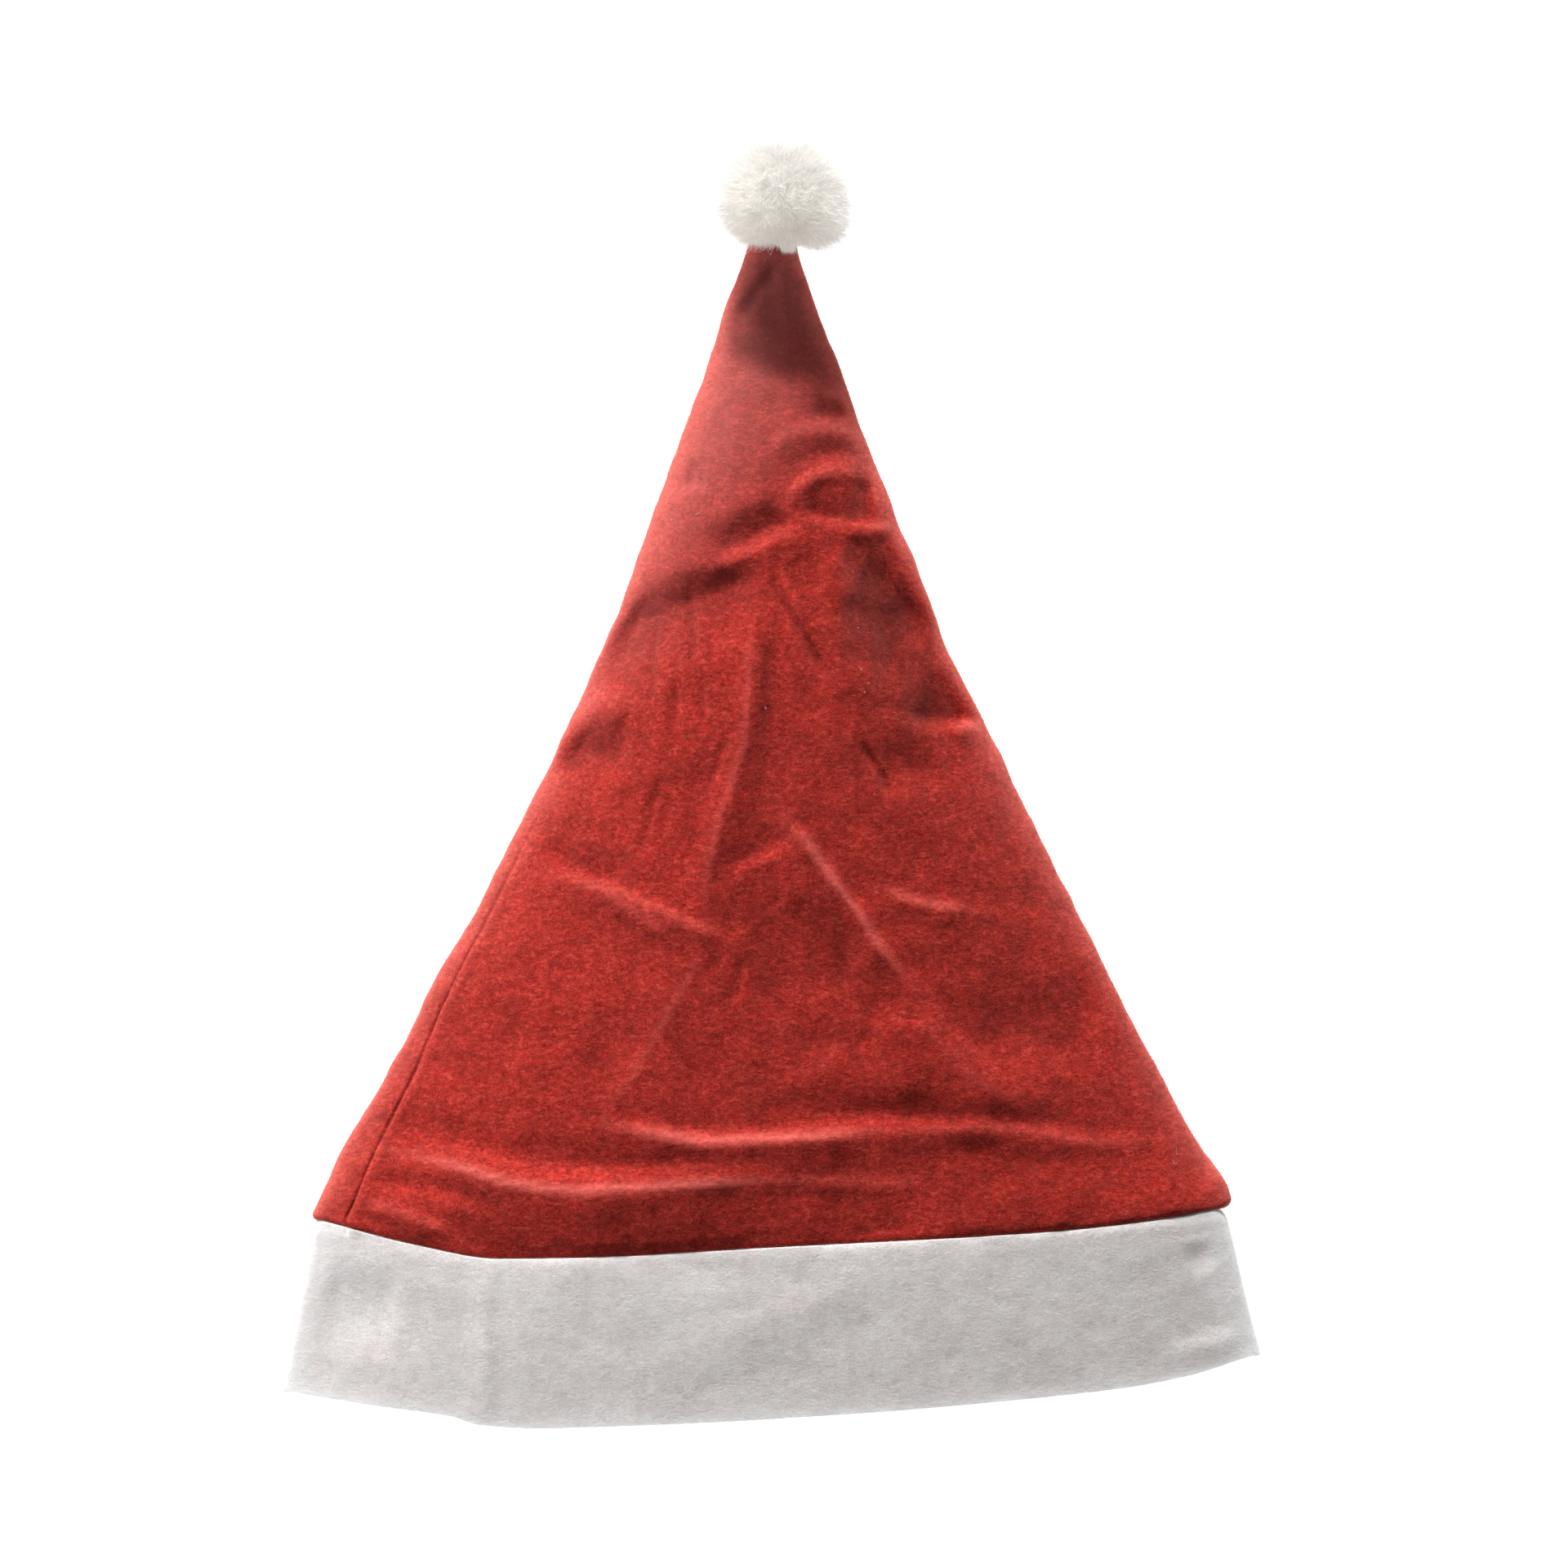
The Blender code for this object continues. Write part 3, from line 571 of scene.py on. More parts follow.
# Lamps in metres and watts. The first two aim at the middle of the floor, the spot at the pompom.
LIGHTS = (
    ("name", "kind", "place", "aim", "size", "power"),
    ("key", "AREA", (-0.34, 2.36, 0.96), (0.0, 0.0, 0.0), 0.45, 105.0),
    ("side", "AREA", (-1.90, 0.30, 0.60), (0.0, 0.0, 0.0), 0.80, 17.0),
    ("pompom_light", "SPOT", (0.42, -0.42, 0.75), tuple(POMPOM_CENTRE * MM), 0.05, 17.0),
)
SPOT_ANGLE = math.radians(5.0)
WORLD_GLOW = 0.10

# The floor, in metres
FLOOR_HALF = 3.0
FLOOR_LEVEL = -0.0006
FLOOR_SHADER = {
    "Base Color": (0.12, 0.12, 0.12, 1.0),
    "Roughness": 0.9,
    "Emission Color": WHITE,
    "Emission Strength": 1.2,
}

# Placement of the part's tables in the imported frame
TABLE_SHIFT = np.array(
    [
        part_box("band")[0][0] / MM + BRIM_WIDTH / 2,
        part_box("crown")[1][1] / MM - TIP_Y,
        0.0,
    ]
)


def column(table, name):
    """One named column of a table whose first row holds the names."""
    index = table[0].index(name)
    return [row[index] for row in table[1:]]


def named_row(table, name):
    """A row of a table as a dictionary of its measures."""
    row = next(row for row in table[1:] if row[0] == name)
    return dict(zip(table[0][1:], row[1:]))


def smooth_value(table, key, name, at):
    """The value of a column at places along the key column, on a curve that never overshoots."""
    places = np.array(column(table, key))
    values = np.array(column(table, name))
    steps = np.diff(places)
    slopes = np.diff(values) / steps
    bends = slopes[:-1] * slopes[1:]
    inner = np.where(bends > 0, 2 * bends / np.where(bends > 0, slopes[:-1] + slopes[1:], 1), 0)
    tangents = np.concatenate([slopes[:1], inner, slopes[-1:]])
    at = np.clip(at, places[0], places[-1])
    i = np.clip(np.searchsorted(places, at, side="right") - 1, 0, len(steps) - 1)
    t = (at - places[i]) / steps[i]
    rise = values[i] * (1 + 2 * t) * (1 - t) ** 2 + values[i + 1] * t * t * (3 - 2 * t)
    bend = tangents[i] * t * (1 - t) ** 2 - tangents[i + 1] * t * t * (1 - t)
    return rise + steps[i] * bend


def soft_step(value):
    """0 below 0, 1 above 1, smooth between."""
    value = np.clip(value, 0.0, 1.0)
    return value * value * (3 - 2 * value)


def relief(folds, x, y):
    """How far the folds of a table raise the felt at each point, and the highlight or shade painted there.
    """
    raised, painted_here = np.zeros_like(x), np.zeros_like(x)
    for _, rise, left, right, crisp, worn, route in folds[1:]:
        nearest = np.full_like(x, np.inf)
        side = np.zeros_like(x)
        share = np.zeros_like(x)
        lengths = [math.dist(a, b) for a, b in zip(route, route[1:])]
        walked = 0.0
        for (ax, ay), (bx, by), length in zip(route, route[1:], lengths):
            dx, dy = (bx - ax) / length, (by - ay) / length
            along = np.clip((x - ax) * dx + (y - ay) * dy, 0, length)
            off_x, off_y = x - ax - along * dx, y - ay - along * dy
            away = np.hypot(off_x, off_y)
            closer = away < nearest
            side = np.where(closer, dx * off_y - dy * off_x, side)
            share = np.where(closer, (walked + along) / sum(lengths), share)
            nearest = np.where(closer, away, nearest)
            walked += length
        reach = np.clip(nearest / np.where(side > 0, left, right), 0, 1)
        taper = END_RISE + (1 - END_RISE) * soft_step(np.minimum(share, 1 - share) / TAPER_SHARE)
        raised += rise * taper * ((1 - crisp) * (1 - reach**2) ** 2 + crisp * (1 - reach) ** CREASE_POWER)
        # Painted shade over a dent, or a painted highlight along a crest
        if worn < 0:
            painted_here += worn * taper * (1 - reach**2) ** 2
        else:
            off = np.where(side > 0, nearest, -nearest) - CREST_OFFSET
            painted_here += worn * taper * np.exp(-((off / CREST_WIDTH) ** 2))
    return raised, painted_here


def waves(points, length, seed):
    """Smooth noise between about -1 and 1 at each point, with humps of the given length."""
    flat = points.reshape(-1, 3) / length + seed
    return np.array([noise.noise(point) for point in flat]).reshape(points.shape[:-1])


def unevenness(points, seed):
    """How far the felt's own waves and streaks raise it at each point."""
    raised = np.zeros(points.shape[:-1])
    for length, rise in FELT_WAVES[1:]:
        raised += WAVE_GAIN * rise * waves(points, length, seed)
    streaks = waves(points * STREAK_STRETCH, STREAK_LENGTH, seed)
    return raised + WAVE_GAIN * STREAK_RISE * streaks


def puckers(points):
    """How far the pull of the brim seam raises the felt beside it."""
    return PUCKER_RISE * waves(points * PUCKER_STRETCH, PUCKER_LENGTH, PUCKER_SEED)


def rows_of(table):
    """The places of all rows of a table of mesh steps."""
    rows = [np.linspace(start, end, steps, endpoint=False) for _, start, end, steps in table[1:]]
    return np.append(np.concatenate(rows), table[-1][2])


def front_shares(section, seam, depth, columns):
    """Shares across the front, one row of them for each section, closer together at the side seam."""
    fine = np.linspace(0.0, 1.0, SHARE_SAMPLES)
    inset = section["fold"] * (1 - np.sin(fold_slope(section)))
    flat = section["right_x"] - section["left_x"] - 2 * inset
    off = fine[None, :] * flat[:, None] - (seam - inset)[:, None]
    crowd = 1 + SEAM_CROWDING * depth[:, None] * np.exp(-((off / SEAM_CROWD_REACH) ** 2))
    walked = np.cumsum(crowd, axis=1)
    walked = (walked - walked[:, :1]) / (walked[:, -1:] - walked[:, :1])
    even = np.linspace(0.0, 1.0, columns["front"])
    return np.array([np.interp(even, row, fine) for row in walked])


def fold_slope(section):
    """How steeply the front leaves the side folds, as an angle for each section."""
    flat = section["right_x"] - section["left_x"] - 2 * section["fold"]
    return np.arctan(2 * SWELL_POWER * (section["height"] - 2 * section["fold"]) / flat)


def loops(section, across, row_y, columns):
    """Closed loops round the hat, one for each section: front, right fold, back and left fold."""
    fold, lift = section["fold"][:, None], section["lift"][:, None]
    slope = fold_slope(section)[:, None]
    inset, level = fold * (1 - np.sin(slope)), fold * (1 + np.cos(slope))
    left, right = section["left_x"][:, None], section["right_x"][:, None]
    front_x = left + inset + (right - left - 2 * inset) * across
    swell = (section["height"][:, None] - level) * (1 - np.abs(2 * across - 1) ** SWELL_POWER)
    front = (front_x, row_y(across), lift + level + swell)
    turns = np.linspace(1.0, 0.0, columns["fold"] + 2)[None, 1:-1]
    angles = -np.pi / 2 + (np.pi - slope) * turns
    turn_x, turn_z = fold * np.cos(angles), lift + fold + fold * np.sin(angles)
    back_share = np.linspace(1.0, 0.0, columns["back"])[None, :] * np.ones_like(left)
    right_y, left_y = row_y(np.ones_like(left)), row_y(np.zeros_like(left))
    right_turn = (right - fold + turn_x, right_y + 0 * turn_x, turn_z)
    left_turn = ((left + fold - turn_x)[:, ::-1], left_y + 0 * turn_x, turn_z[:, ::-1])
    back_x = left + fold + (right - left - 2 * fold) * back_share
    back = (back_x, row_y(back_share), lift + 0 * back_share)
    parts = [np.stack(part, axis=-1) for part in (front, right_turn, back, left_turn)]
    return np.concatenate(parts, axis=1)


def edge_softness(front):
    """0 at the two folds of the front, 1 past the soft edge."""
    from_left = front[..., 0] - front[:, :1, 0]
    from_right = front[:, -1:, 0] - front[..., 0]
    return soft_step(np.minimum(from_left, from_right) / DENT_SOFT_EDGE)


def sections_at(table, key, at):
    """The measures of a table's sections, at places along its key column."""
    return {name: smooth_value(table, key, name, at) for name in table[0][2:]}


def mouth_row(up):
    """The crown's rows sag with its mouth and straighten out above it."""
    up = up[:, None]
    left = MOUTH_LEFT_Y + up / CROWN_LENGTH * (TIP_Y - MOUTH_LEFT_Y)
    right = MOUTH_RIGHT_Y + up / CROWN_LENGTH * (TIP_Y - MOUTH_RIGHT_Y)
    sag = np.maximum(0.0, 1 - up / MOUTH_SAG_REACH) ** 2
    return lambda a: left + (right - left) * a - sag * smooth_value(MOUTH_SAG, "across", "drop", a)


def seam_groove(off, depth):
    """The side seam's groove, with the felt on its right puffed over it."""
    width = np.where(off < 0, GROOVE_LEFT, GROOVE_RIGHT)
    puff = np.where(off > 0, PUFF_SHARE, 0.0) * np.exp(-(((off - PUFF_OFFSET) / PUFF_WIDTH) ** 2))
    return depth * (puff - np.exp(-((off / width) ** 2)))


def rim(points, section, fade):
    """The painted edge glow: 1 at the hat's two outer edges, fading over the felt beside them."""
    left = points[..., 0] - section["left_x"][:, None]
    right = section["right_x"][:, None] - points[..., 0]
    return np.exp(-np.maximum(left, 0) / fade) + np.exp(-np.maximum(right, 0) / fade)


def crown_loops(up, columns, inset=0.0):
    """The crown's outer loops, or ones inset inside them, and the light and shade painted there."""
    section = sections_at(CROWN_SECTIONS, "up", up)
    seam = smooth_value(SIDE_SEAM, "up", "inset", up)
    depth = smooth_value(SIDE_SEAM, "up", "depth", up)
    across = front_shares(section, seam, depth, columns)
    seam_x = section["left_x"] + seam
    section["left_x"] += inset
    section["right_x"] -= inset
    section["fold"] -= inset
    section["height"] -= 2 * inset
    section["lift"] += inset
    points = loops(section, across, mouth_row(up), columns)
    front = points[:, : across.shape[1]]
    softness = edge_softness(front)
    folds, worn = relief(CROWN_FOLDS, front[..., 0], front[..., 1])
    folds *= soft_step(up / SOFT_EDGE)[:, None]
    front[..., 2] += softness * folds + seam_groove(front[..., 0] - seam_x[:, None], depth[:, None])
    # Painted shadow of the pompom over the crown's tip, taken from the painted glow along the edges
    tip_shade = TIP_SHADE * soft_step((points[..., 1] - TIP_SHADE_Y) / TIP_SHADE_REACH)
    pale = RIM_SHARE * rim(points, section, RIM_FADE) - tip_shade
    pale[:, : across.shape[1]] += worn
    return points, np.clip(pale, -1.0, 1.0)


def band_loops(share, columns):
    """Loops of the band from the seam line to the raw lower edge, and the edge glow painted there."""
    section = sections_at(BAND_SECTIONS, "share", share)
    mouth = sections_at(CROWN_SECTIONS, "up", 0.0 * share)
    seam = smooth_value(SIDE_SEAM, "up", "inset", 0.0 * share)
    depth = smooth_value(SIDE_SEAM, "up", "depth", 0.0 * share)
    across = front_shares(mouth, seam, depth, columns)
    seam_line = mouth_row(0.0 * share)
    down = share[:, None]

    def row_y(a):
        straight = BRIM_LEFT_Y + (BRIM_RIGHT_Y - BRIM_LEFT_Y) * a
        edge = straight - smooth_value(BRIM_SAG, "across", "drop", a)
        return seam_line(a) + down * (edge - seam_line(a))

    points = loops(section, across, row_y, columns)
    front = points[:, : across.shape[1]]
    softness = edge_softness(front) * soft_step(share / BAND_FOLD_START)[:, None]
    front[..., 2] += softness * relief(BAND_FOLDS, front[..., 0], front[..., 1])[0]
    seam_x = (mouth["left_x"] + seam)[:, None]
    depth = depth[:, None] * (1 - soft_step(down / BAND_SEAM_END))
    front[..., 2] += seam_groove(front[..., 0] - seam_x, depth)
    # Painted glow along the band's side edges and its lower edge
    pale = rim(points, section, BAND_RIM_FADE) + np.exp(-(1 - down) * BRIM_LENGTH / BRIM_RIM_FADE)
    return points, np.clip(RIM_SHARE * pale, 0.0, 1.0)


def unit(vectors):
    """The vectors at a length of one."""
    return vectors / np.maximum(np.linalg.norm(vectors, axis=-1, keepdims=True), TINY)


def normals_of(points):
    """Outward normals of loops that run round the hat."""
    round_it = np.roll(points, -1, axis=1) - np.roll(points, 1, axis=1)
    up_it = np.gradient(points, axis=0)
    normals = np.cross(round_it, up_it)
    normals = unit(normals)
    middle = points.mean(axis=1, keepdims=True)
    outward = np.sign(((points - middle) * normals).sum(axis=-1).mean())
    return normals * outward


def quads(first, rows, count):
    """Faces between loops of count points each, whose numbers start at first."""
    start = first + np.arange(rows - 1)[:, None] * count + np.arange(count)[None, :]
    onward = first + np.arange(rows - 1)[:, None] * count + (np.arange(count)[None, :] + 1) % count
    return np.stack([start, onward, onward + count, start + count], axis=-1).reshape(-1, 4)


def add_object(name, data):
    """A mesh, camera or lamp, put in the scene."""
    obj = bpy.data.objects.new(name, data)
    bpy.context.scene.collection.objects.link(obj)
    return obj


def mesh_from(name, points, faces, material, slot, pale=None):
    """A piece from points in the tables' millimetres, storing pale, its painted light and shade, if given.
    """
    mesh = bpy.data.meshes.new(name)
    mesh.from_pydata(((points + TABLE_SHIFT) * MM).tolist(), [], faces)
    if pale is not None:
        mesh.attributes.new("pale", "FLOAT", "POINT").data.foreach_set("value", pale)
    mesh.validate()
    mesh.shade_smooth()
    mesh.set_sharp_from_angle(angle=SHARP_ANGLE)
    mesh.materials.append(material)
    obj = add_object(name, mesh)
    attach(obj, "root")
    return obj


def felt_piece(name, outer, normals, wall, closed_end, material, slot, pale):
    """A closed felt wall: its outer side through all loops, its inner side through every second."""
    rows, count = outer.shape[:2]
    picked = np.unique(np.append(np.arange(0, rows, 2), rows - 1))
    inner = outer[picked][:, ::2] - wall[picked, None, None] * normals[picked][:, ::2]
    inner_count = inner.shape[1]
    points = np.concatenate([outer.reshape(-1, 3), inner.reshape(-1, 3)])
    first = rows * count
    faces = quads(0, rows, count).tolist()
    faces += quads(first, len(picked), inner_count)[:, ::-1].tolist()
    ends = [(0, first, False)]
    if not closed_end:
        ends.append(((rows - 1) * count, first + (len(picked) - 1) * inner_count, True))
    for outer_row, inner_row, flip in ends:
        for i in range(inner_count):
            j = (i + 1) % inner_count
            near = [outer_row + (2 * i + k) % count for k in (0, 1, 2)]
            face = [inner_row + i, inner_row + j, near[2], near[1], near[0]]
            faces.append(face[::-1] if flip else face)
    if closed_end:
        for row, loop_count, flip in (
            ((rows - 1) * count, count, False),
            (first + (len(picked) - 1) * inner_count, inner_count, True),
        ):
            middle = len(points)
            loop = points[row : row + loop_count]
            points = np.vstack([points, loop.mean(axis=0)])
            for i in range(loop_count):
                face = [row + i, row + (i + 1) % loop_count, middle]
                faces.append(face[::-1] if flip else face)
    all_pale = np.zeros(len(points))
    all_pale[: pale.size] = pale.ravel()
    return mesh_from(name, points, faces, material, slot, all_pale)


def uneven_widths(width, count, chance):
    """Widths of so many fibres, about the width given."""
    least, more = FIBRE_WIDTHS
    return width * (least + more * chance.random(count))


def level_way(turn):
    """A level direction at an angle in degrees, and the one on its left."""
    way = np.array([math.cos(math.radians(turn)), math.sin(math.radians(turn)), 0.0])
    return way, np.array([-way[1], way[0], 0.0])


def ribbons(name, lines, widths, sides, material, slot):
    """Fibres as flat ribbons: lines is (fibres, points, 3), each ending in a point."""
    count, steps = lines.shape[:2]
    half = (widths[:, None] * np.linspace(1.0, FIBRE_TAPER, steps - 1)[None, :])[..., None] / 2
    left = lines[:, :-1] - sides[:, None] * half
    right = lines[:, :-1] + sides[:, None] * half
    body = np.stack([left, right], axis=2).reshape(count, -1, 3)
    points = np.concatenate([body, lines[:, -1:]], axis=1)
    per = points.shape[1]
    pattern = [[2 * i, 2 * i + 1, 2 * i + 3, 2 * i + 2] for i in range(steps - 2)]
    first = np.arange(count)[:, None, None] * per
    blocks = (first + np.array(pattern)[None]).reshape(-1, 4).tolist() if pattern else []
    last = 2 * (steps - 2)
    tips = (first[:, 0] + np.array([[last, last + 1, last + 2]])).reshape(-1, 3).tolist()
    points = points.reshape(-1, 3)
    points[:, 2] = np.maximum(points[:, 2], FIBRE_CLEARANCE)
    return mesh_from(name, points, blocks + tips, material, slot)


class Tree:
    """A material's node tree, with short ways to add and join its nodes."""

    def __init__(self, name):
        self.material = bpy.data.materials.new(name)
        self.material.use_nodes = True
        self.nodes = self.material.node_tree.nodes
        self.links = self.material.node_tree.links
        self.shader = self.nodes["Principled BSDF"]

    def add(self, kind, inputs=(), **settings):
        """A node; an input that is another node's output is linked, any other is set."""
        node = self.nodes.new("ShaderNode" + kind)
        for name, value in settings.items():
            setattr(node, name, value)
        for socket, value in dict(inputs).items():
            self.feed(node.inputs[socket], value)
        return node

    def feed(self, socket, value):
        """Links a node's output to the socket, or sets any other value on it."""
        if isinstance(value, bpy.types.NodeSocket):
            self.links.new(value, socket)
        else:
            socket.default_value = value

    def settle(self, settings):
        """Sets or links the shader's own sockets."""
        for name, value in settings.items():
            self.feed(self.shader.inputs[name], value)

    def math(self, operation, a, b=0.0, clamp=False):
        return self.add("Math", {0: a, 1: b}, operation=operation, use_clamp=clamp).outputs[0]

    def times(self, a, b):
        return self.math("MULTIPLY", a, b)

    def span(self, value, low, high, to_low=0.0, to_high=1.0):
        """A smooth step from to_low to to_high while the value goes from low to high."""
        inputs = {"Value": value, "From Min": low, "From Max": high, "To Min": to_low, "To Max": to_high}
        return self.add("MapRange", inputs, interpolation_type="SMOOTHSTEP").outputs["Result"]

    def ramp(self, name, value):
        """A smooth step from the table of ramps."""
        return self.span(value, **named_row(RAMPS, name))

    def noise(self, name, place):
        """A noise from the table of noises."""
        return self.add("TexNoise", {"Vector": place, **named_row(NOISES, name)}).outputs["Fac"]

    def mix(self, factor, a, b, blend="MIX"):
        """The colour a, with b mixed in."""
        node = self.add("Mix", {"Factor": factor}, data_type="RGBA", blend_type=blend)
        self.feed(node.inputs[6], a)
        self.feed(node.inputs[7], b)
        return node.outputs[2]

    def shade(self, colour, tone):
        """The colour, brighter where the tone is above one and darker below."""
        grey = self.add("CombineColor", {0: tone, 1: tone, 2: tone}).outputs[0]
        return self.mix(1.0, colour, grey, "MULTIPLY")


def curling_lines(tree, places):
    """Thin curling fibres, where a twisted noise passes through its middle value."""
    lines = []
    for name, place in places.items():
        off = tree.math("ABSOLUTE", tree.math("SUBTRACT", tree.noise(name, place), NOISE_MIDDLE))
        lines.append(tree.ramp("line", off))
    return tree.math("MAXIMUM", *lines)


def wool_colour(tree, look, grains):
    """The wool's own colour, from its dark pits to its pale fibres."""
    deep, body, pale = ((*look[key], 1.0) for key in ("deep", "body", "pale"))
    contrast = look["contrast"]
    colour = tree.mix(tree.ramp("body", grains["mottle"]), deep, body)
    mottled = tree.times(tree.ramp("pale", grains["mottle"]), MOTTLE_SHARE * contrast)
    colour = tree.mix(mottled, colour, pale)
    colour = tree.mix(tree.times(grains["lines"], LINE_SHARE * contrast), colour, pale)
    return tree.mix(tree.times(grains["pits"], PIT_SHARE * contrast), colour, deep)


def wool_tone(tree, look, place, north, fine):
    """The wool's uneven tone, brighter near the mouth."""
    patch, mouth_gain = look["patch"], look["mouth_gain"]
    patches = tree.span(tree.noise("patches", place), *PATCH_RANGE, 1 - patch, 1 + patch)
    clouds = tree.span(tree.noise("clouds", place), *CLOUD_RANGE, 1 - patch, 1 + CLOUD_SHARE * patch)
    mouth_tone = tree.span(north, MOUTH_TONE_FROM * MM, MOUTH_TONE_TO * MM, 1 + mouth_gain, 1 - UPPER_DIMMING_SHARE * mouth_gain)
    tone = tree.times(patches, tree.ramp("grain_tone", fine))
    return tree.times(tree.times(tone, clouds), mouth_tone)


def wool_height(tree, grains):
    """The height that the felt's bump is made from."""
    height = 0.0
    for name, share in BUMP_SHARES.items():
        height = tree.math("ADD", height, tree.times(grains[name], share))
    return height


def felt_material(name):
    """Pressed felt: mottled wool, curling pale fibres, dark pits and a soft bump of all of them."""
    look = FELTS[name]
    tree = Tree(name)
    place = tree.add("TexCoord").outputs["Object"]
    grain = tree.add("Mapping", {"Vector": place, "Scale": GRAIN_STRETCH}).outputs[0]
    turned = tree.add("Mapping", {"Vector": place, **TURNED_GRAIN}).outputs[0]
    grains = {
        "mottle": tree.noise("mottle", grain),
        "fine": tree.noise("fine", grain),
        "lines": curling_lines(tree, {"curls": grain, "turned_curls": turned}),
        "pits": tree.ramp("pits", tree.noise("pits", turned)),
    }
    across = tree.add("SeparateXYZ", {0: place}).outputs
    tone = wool_tone(tree, look, place, across["Y"], grains["fine"])
    colour = tree.shade(wool_colour(tree, look, grains), tone)
    # Painted glare: a pale veil over the upper left stands in for the low light's haze
    upper_left = tree.math("SUBTRACT", across["Y"], tree.times(across["X"], BLOOM_SLANT))
    bloom = tree.span(upper_left, BLOOM_FROM * MM, BLOOM_FULL * MM, 0.0, look["bloom"])
    colour = tree.mix(bloom, colour, (*look["haze"], 1.0))
    pale = tree.add("Attribute", attribute_name="pale").outputs["Fac"]
    # Painted shade: the felt darkens towards black in the dents and under the pompom
    dark = tree.math("MULTIPLY", pale, -1.0, clamp=True)
    colour = tree.mix(tree.times(dark, DENT_SHADE), colour, BLACK)
    # Painted highlight and glow: the hat's edges and the crests of folds take the rim colour
    worn = tree.math("MULTIPLY", pale, tree.ramp("worn", grains["mottle"]), clamp=True)
    rim_colour = (*look["rim"], 1.0)
    bump = tree.add("Bump", {**BUMP, "Height": wool_height(tree, grains)})
    tree.settle(FELT_SHADER)
    tree.settle(
        {
            "Base Color": tree.mix(worn, colour, rim_colour),
            # Painted glow: on the white felt the rim colour shines from the edges and crests
            "Emission Color": tree.mix(worn, BLACK, rim_colour),
            "Emission Strength": look["rim_glow"],
            "Normal": bump.outputs[0],
            "Roughness": tree.ramp("roughness", grains["mottle"]),
            "Sheen Weight": look["sheen"],
            "Sheen Tint": (*look["tint"], 1.0),
            "Subsurface Weight": look["see_through"],
        }
    )
    return tree.material


def fibre_material(name):
    """Loose fibres, each with its own tone, that let some light through."""
    look = named_row(FIBRES, name)
    dark, light = (*look["dark"], 1.0), (*look["light"], 1.0)
    tree = Tree(name)
    chance = tree.add("NewGeometry").outputs["Random Per Island"]
    place = tree.add("TexCoord").outputs["Object"]
    tone = tree.ramp("fur_tone", tree.noise("fur", place))
    north = tree.add("SeparateXYZ", {0: place}).outputs["Y"]
    # Painted shade: the fur is darker towards the pompom's far side, which faces the key light
    dim = tree.span(north, DIM_FROM_Y * MM, DIM_TO_Y * MM, 1.0, 1 - look["dim"])
    colour = tree.shade(tree.mix(chance, dark, light), tree.times(tone, dim))
    tree.settle(FIBRE_SHADER)
    tree.settle(
        {
            "Base Color": colour,
            "Sheen Weight": look["sheen"],
            # Painted glow: the fur and its curls give off some light of their own
            "Emission Color": light,
            "Emission Strength": look["glow"],
        }
    )
    through = tree.add("BsdfTranslucent", {"Color": colour}).outputs[0]
    inputs = {0: look["see_through"], 1: tree.shader.outputs[0], 2: through}
    both = tree.add("MixShader", inputs).outputs[0]
    output = next(node for node in tree.nodes if node.type == "OUTPUT_MATERIAL")
    tree.feed(output.inputs["Surface"], both)
    return tree.material


def pompom_reach(directions):
    """How far the pompom reaches from its centre in each direction."""
    angle = np.degrees(np.arctan2(directions[..., 1], directions[..., 0]))
    level = smooth_value(POMPOM_OUTLINE, "angle", "reach", angle)
    upright = directions[..., 2] ** 2
    return level * (1 - upright) + POMPOM_HEIGHT * upright


def make_head(material):
    """The pompom's lumpy core under the fur."""
    builder = bmesh.new()
    bmesh.ops.create_icosphere(builder, subdivisions=HEAD_FINENESS, radius=1.0)
    directions = unit(np.array([vertex.co for vertex in builder.verts]))
    faces = [[vertex.index for vertex in face.verts] for face in builder.faces]
    builder.free()
    lumps = np.ones(len(directions))
    for rise, length, seed in HEAD_LUMPS[1:]:
        lumps += rise * waves(directions, length, seed)
    points = POMPOM_CENTRE + directions * (pompom_reach(directions) * HEAD_SHARE * lumps)[:, None]
    head = mesh_from("pompom_head", points, faces, material, "white_fur")
    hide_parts("pompom")


def even_directions(count, chance):
    """Directions spread evenly over a sphere, a little shaken."""
    i = np.arange(count) + 0.5
    height = 1 - 2 * i / count
    turn = GOLDEN_TURN * i
    level = np.sqrt(1 - height**2)
    directions = np.stack([level * np.cos(turn), level * np.sin(turn), height], axis=-1)
    return unit(directions + chance.normal(0.0, TUFT_SHAKE / math.sqrt(count), directions.shape))


def any_sides(lines, chance):
    """A direction across each fibre, so that the ribbons are turned all ways."""
    across = chance.normal(0.0, 1.0, (len(lines), 3))
    return unit(np.cross(lines[:, -1] - lines[:, 0], across))


def hairs_between(roots, tips, bend):
    """Curved lines from roots to tips, whose middle is moved by bend."""
    shares = np.linspace(0.0, 1.0, HAIR_POINTS)[None, :, None]
    lines = roots[:, None] * (1 - shares) + tips[:, None] * shares
    return lines + bend[:, None] * (4 * shares * (1 - shares))


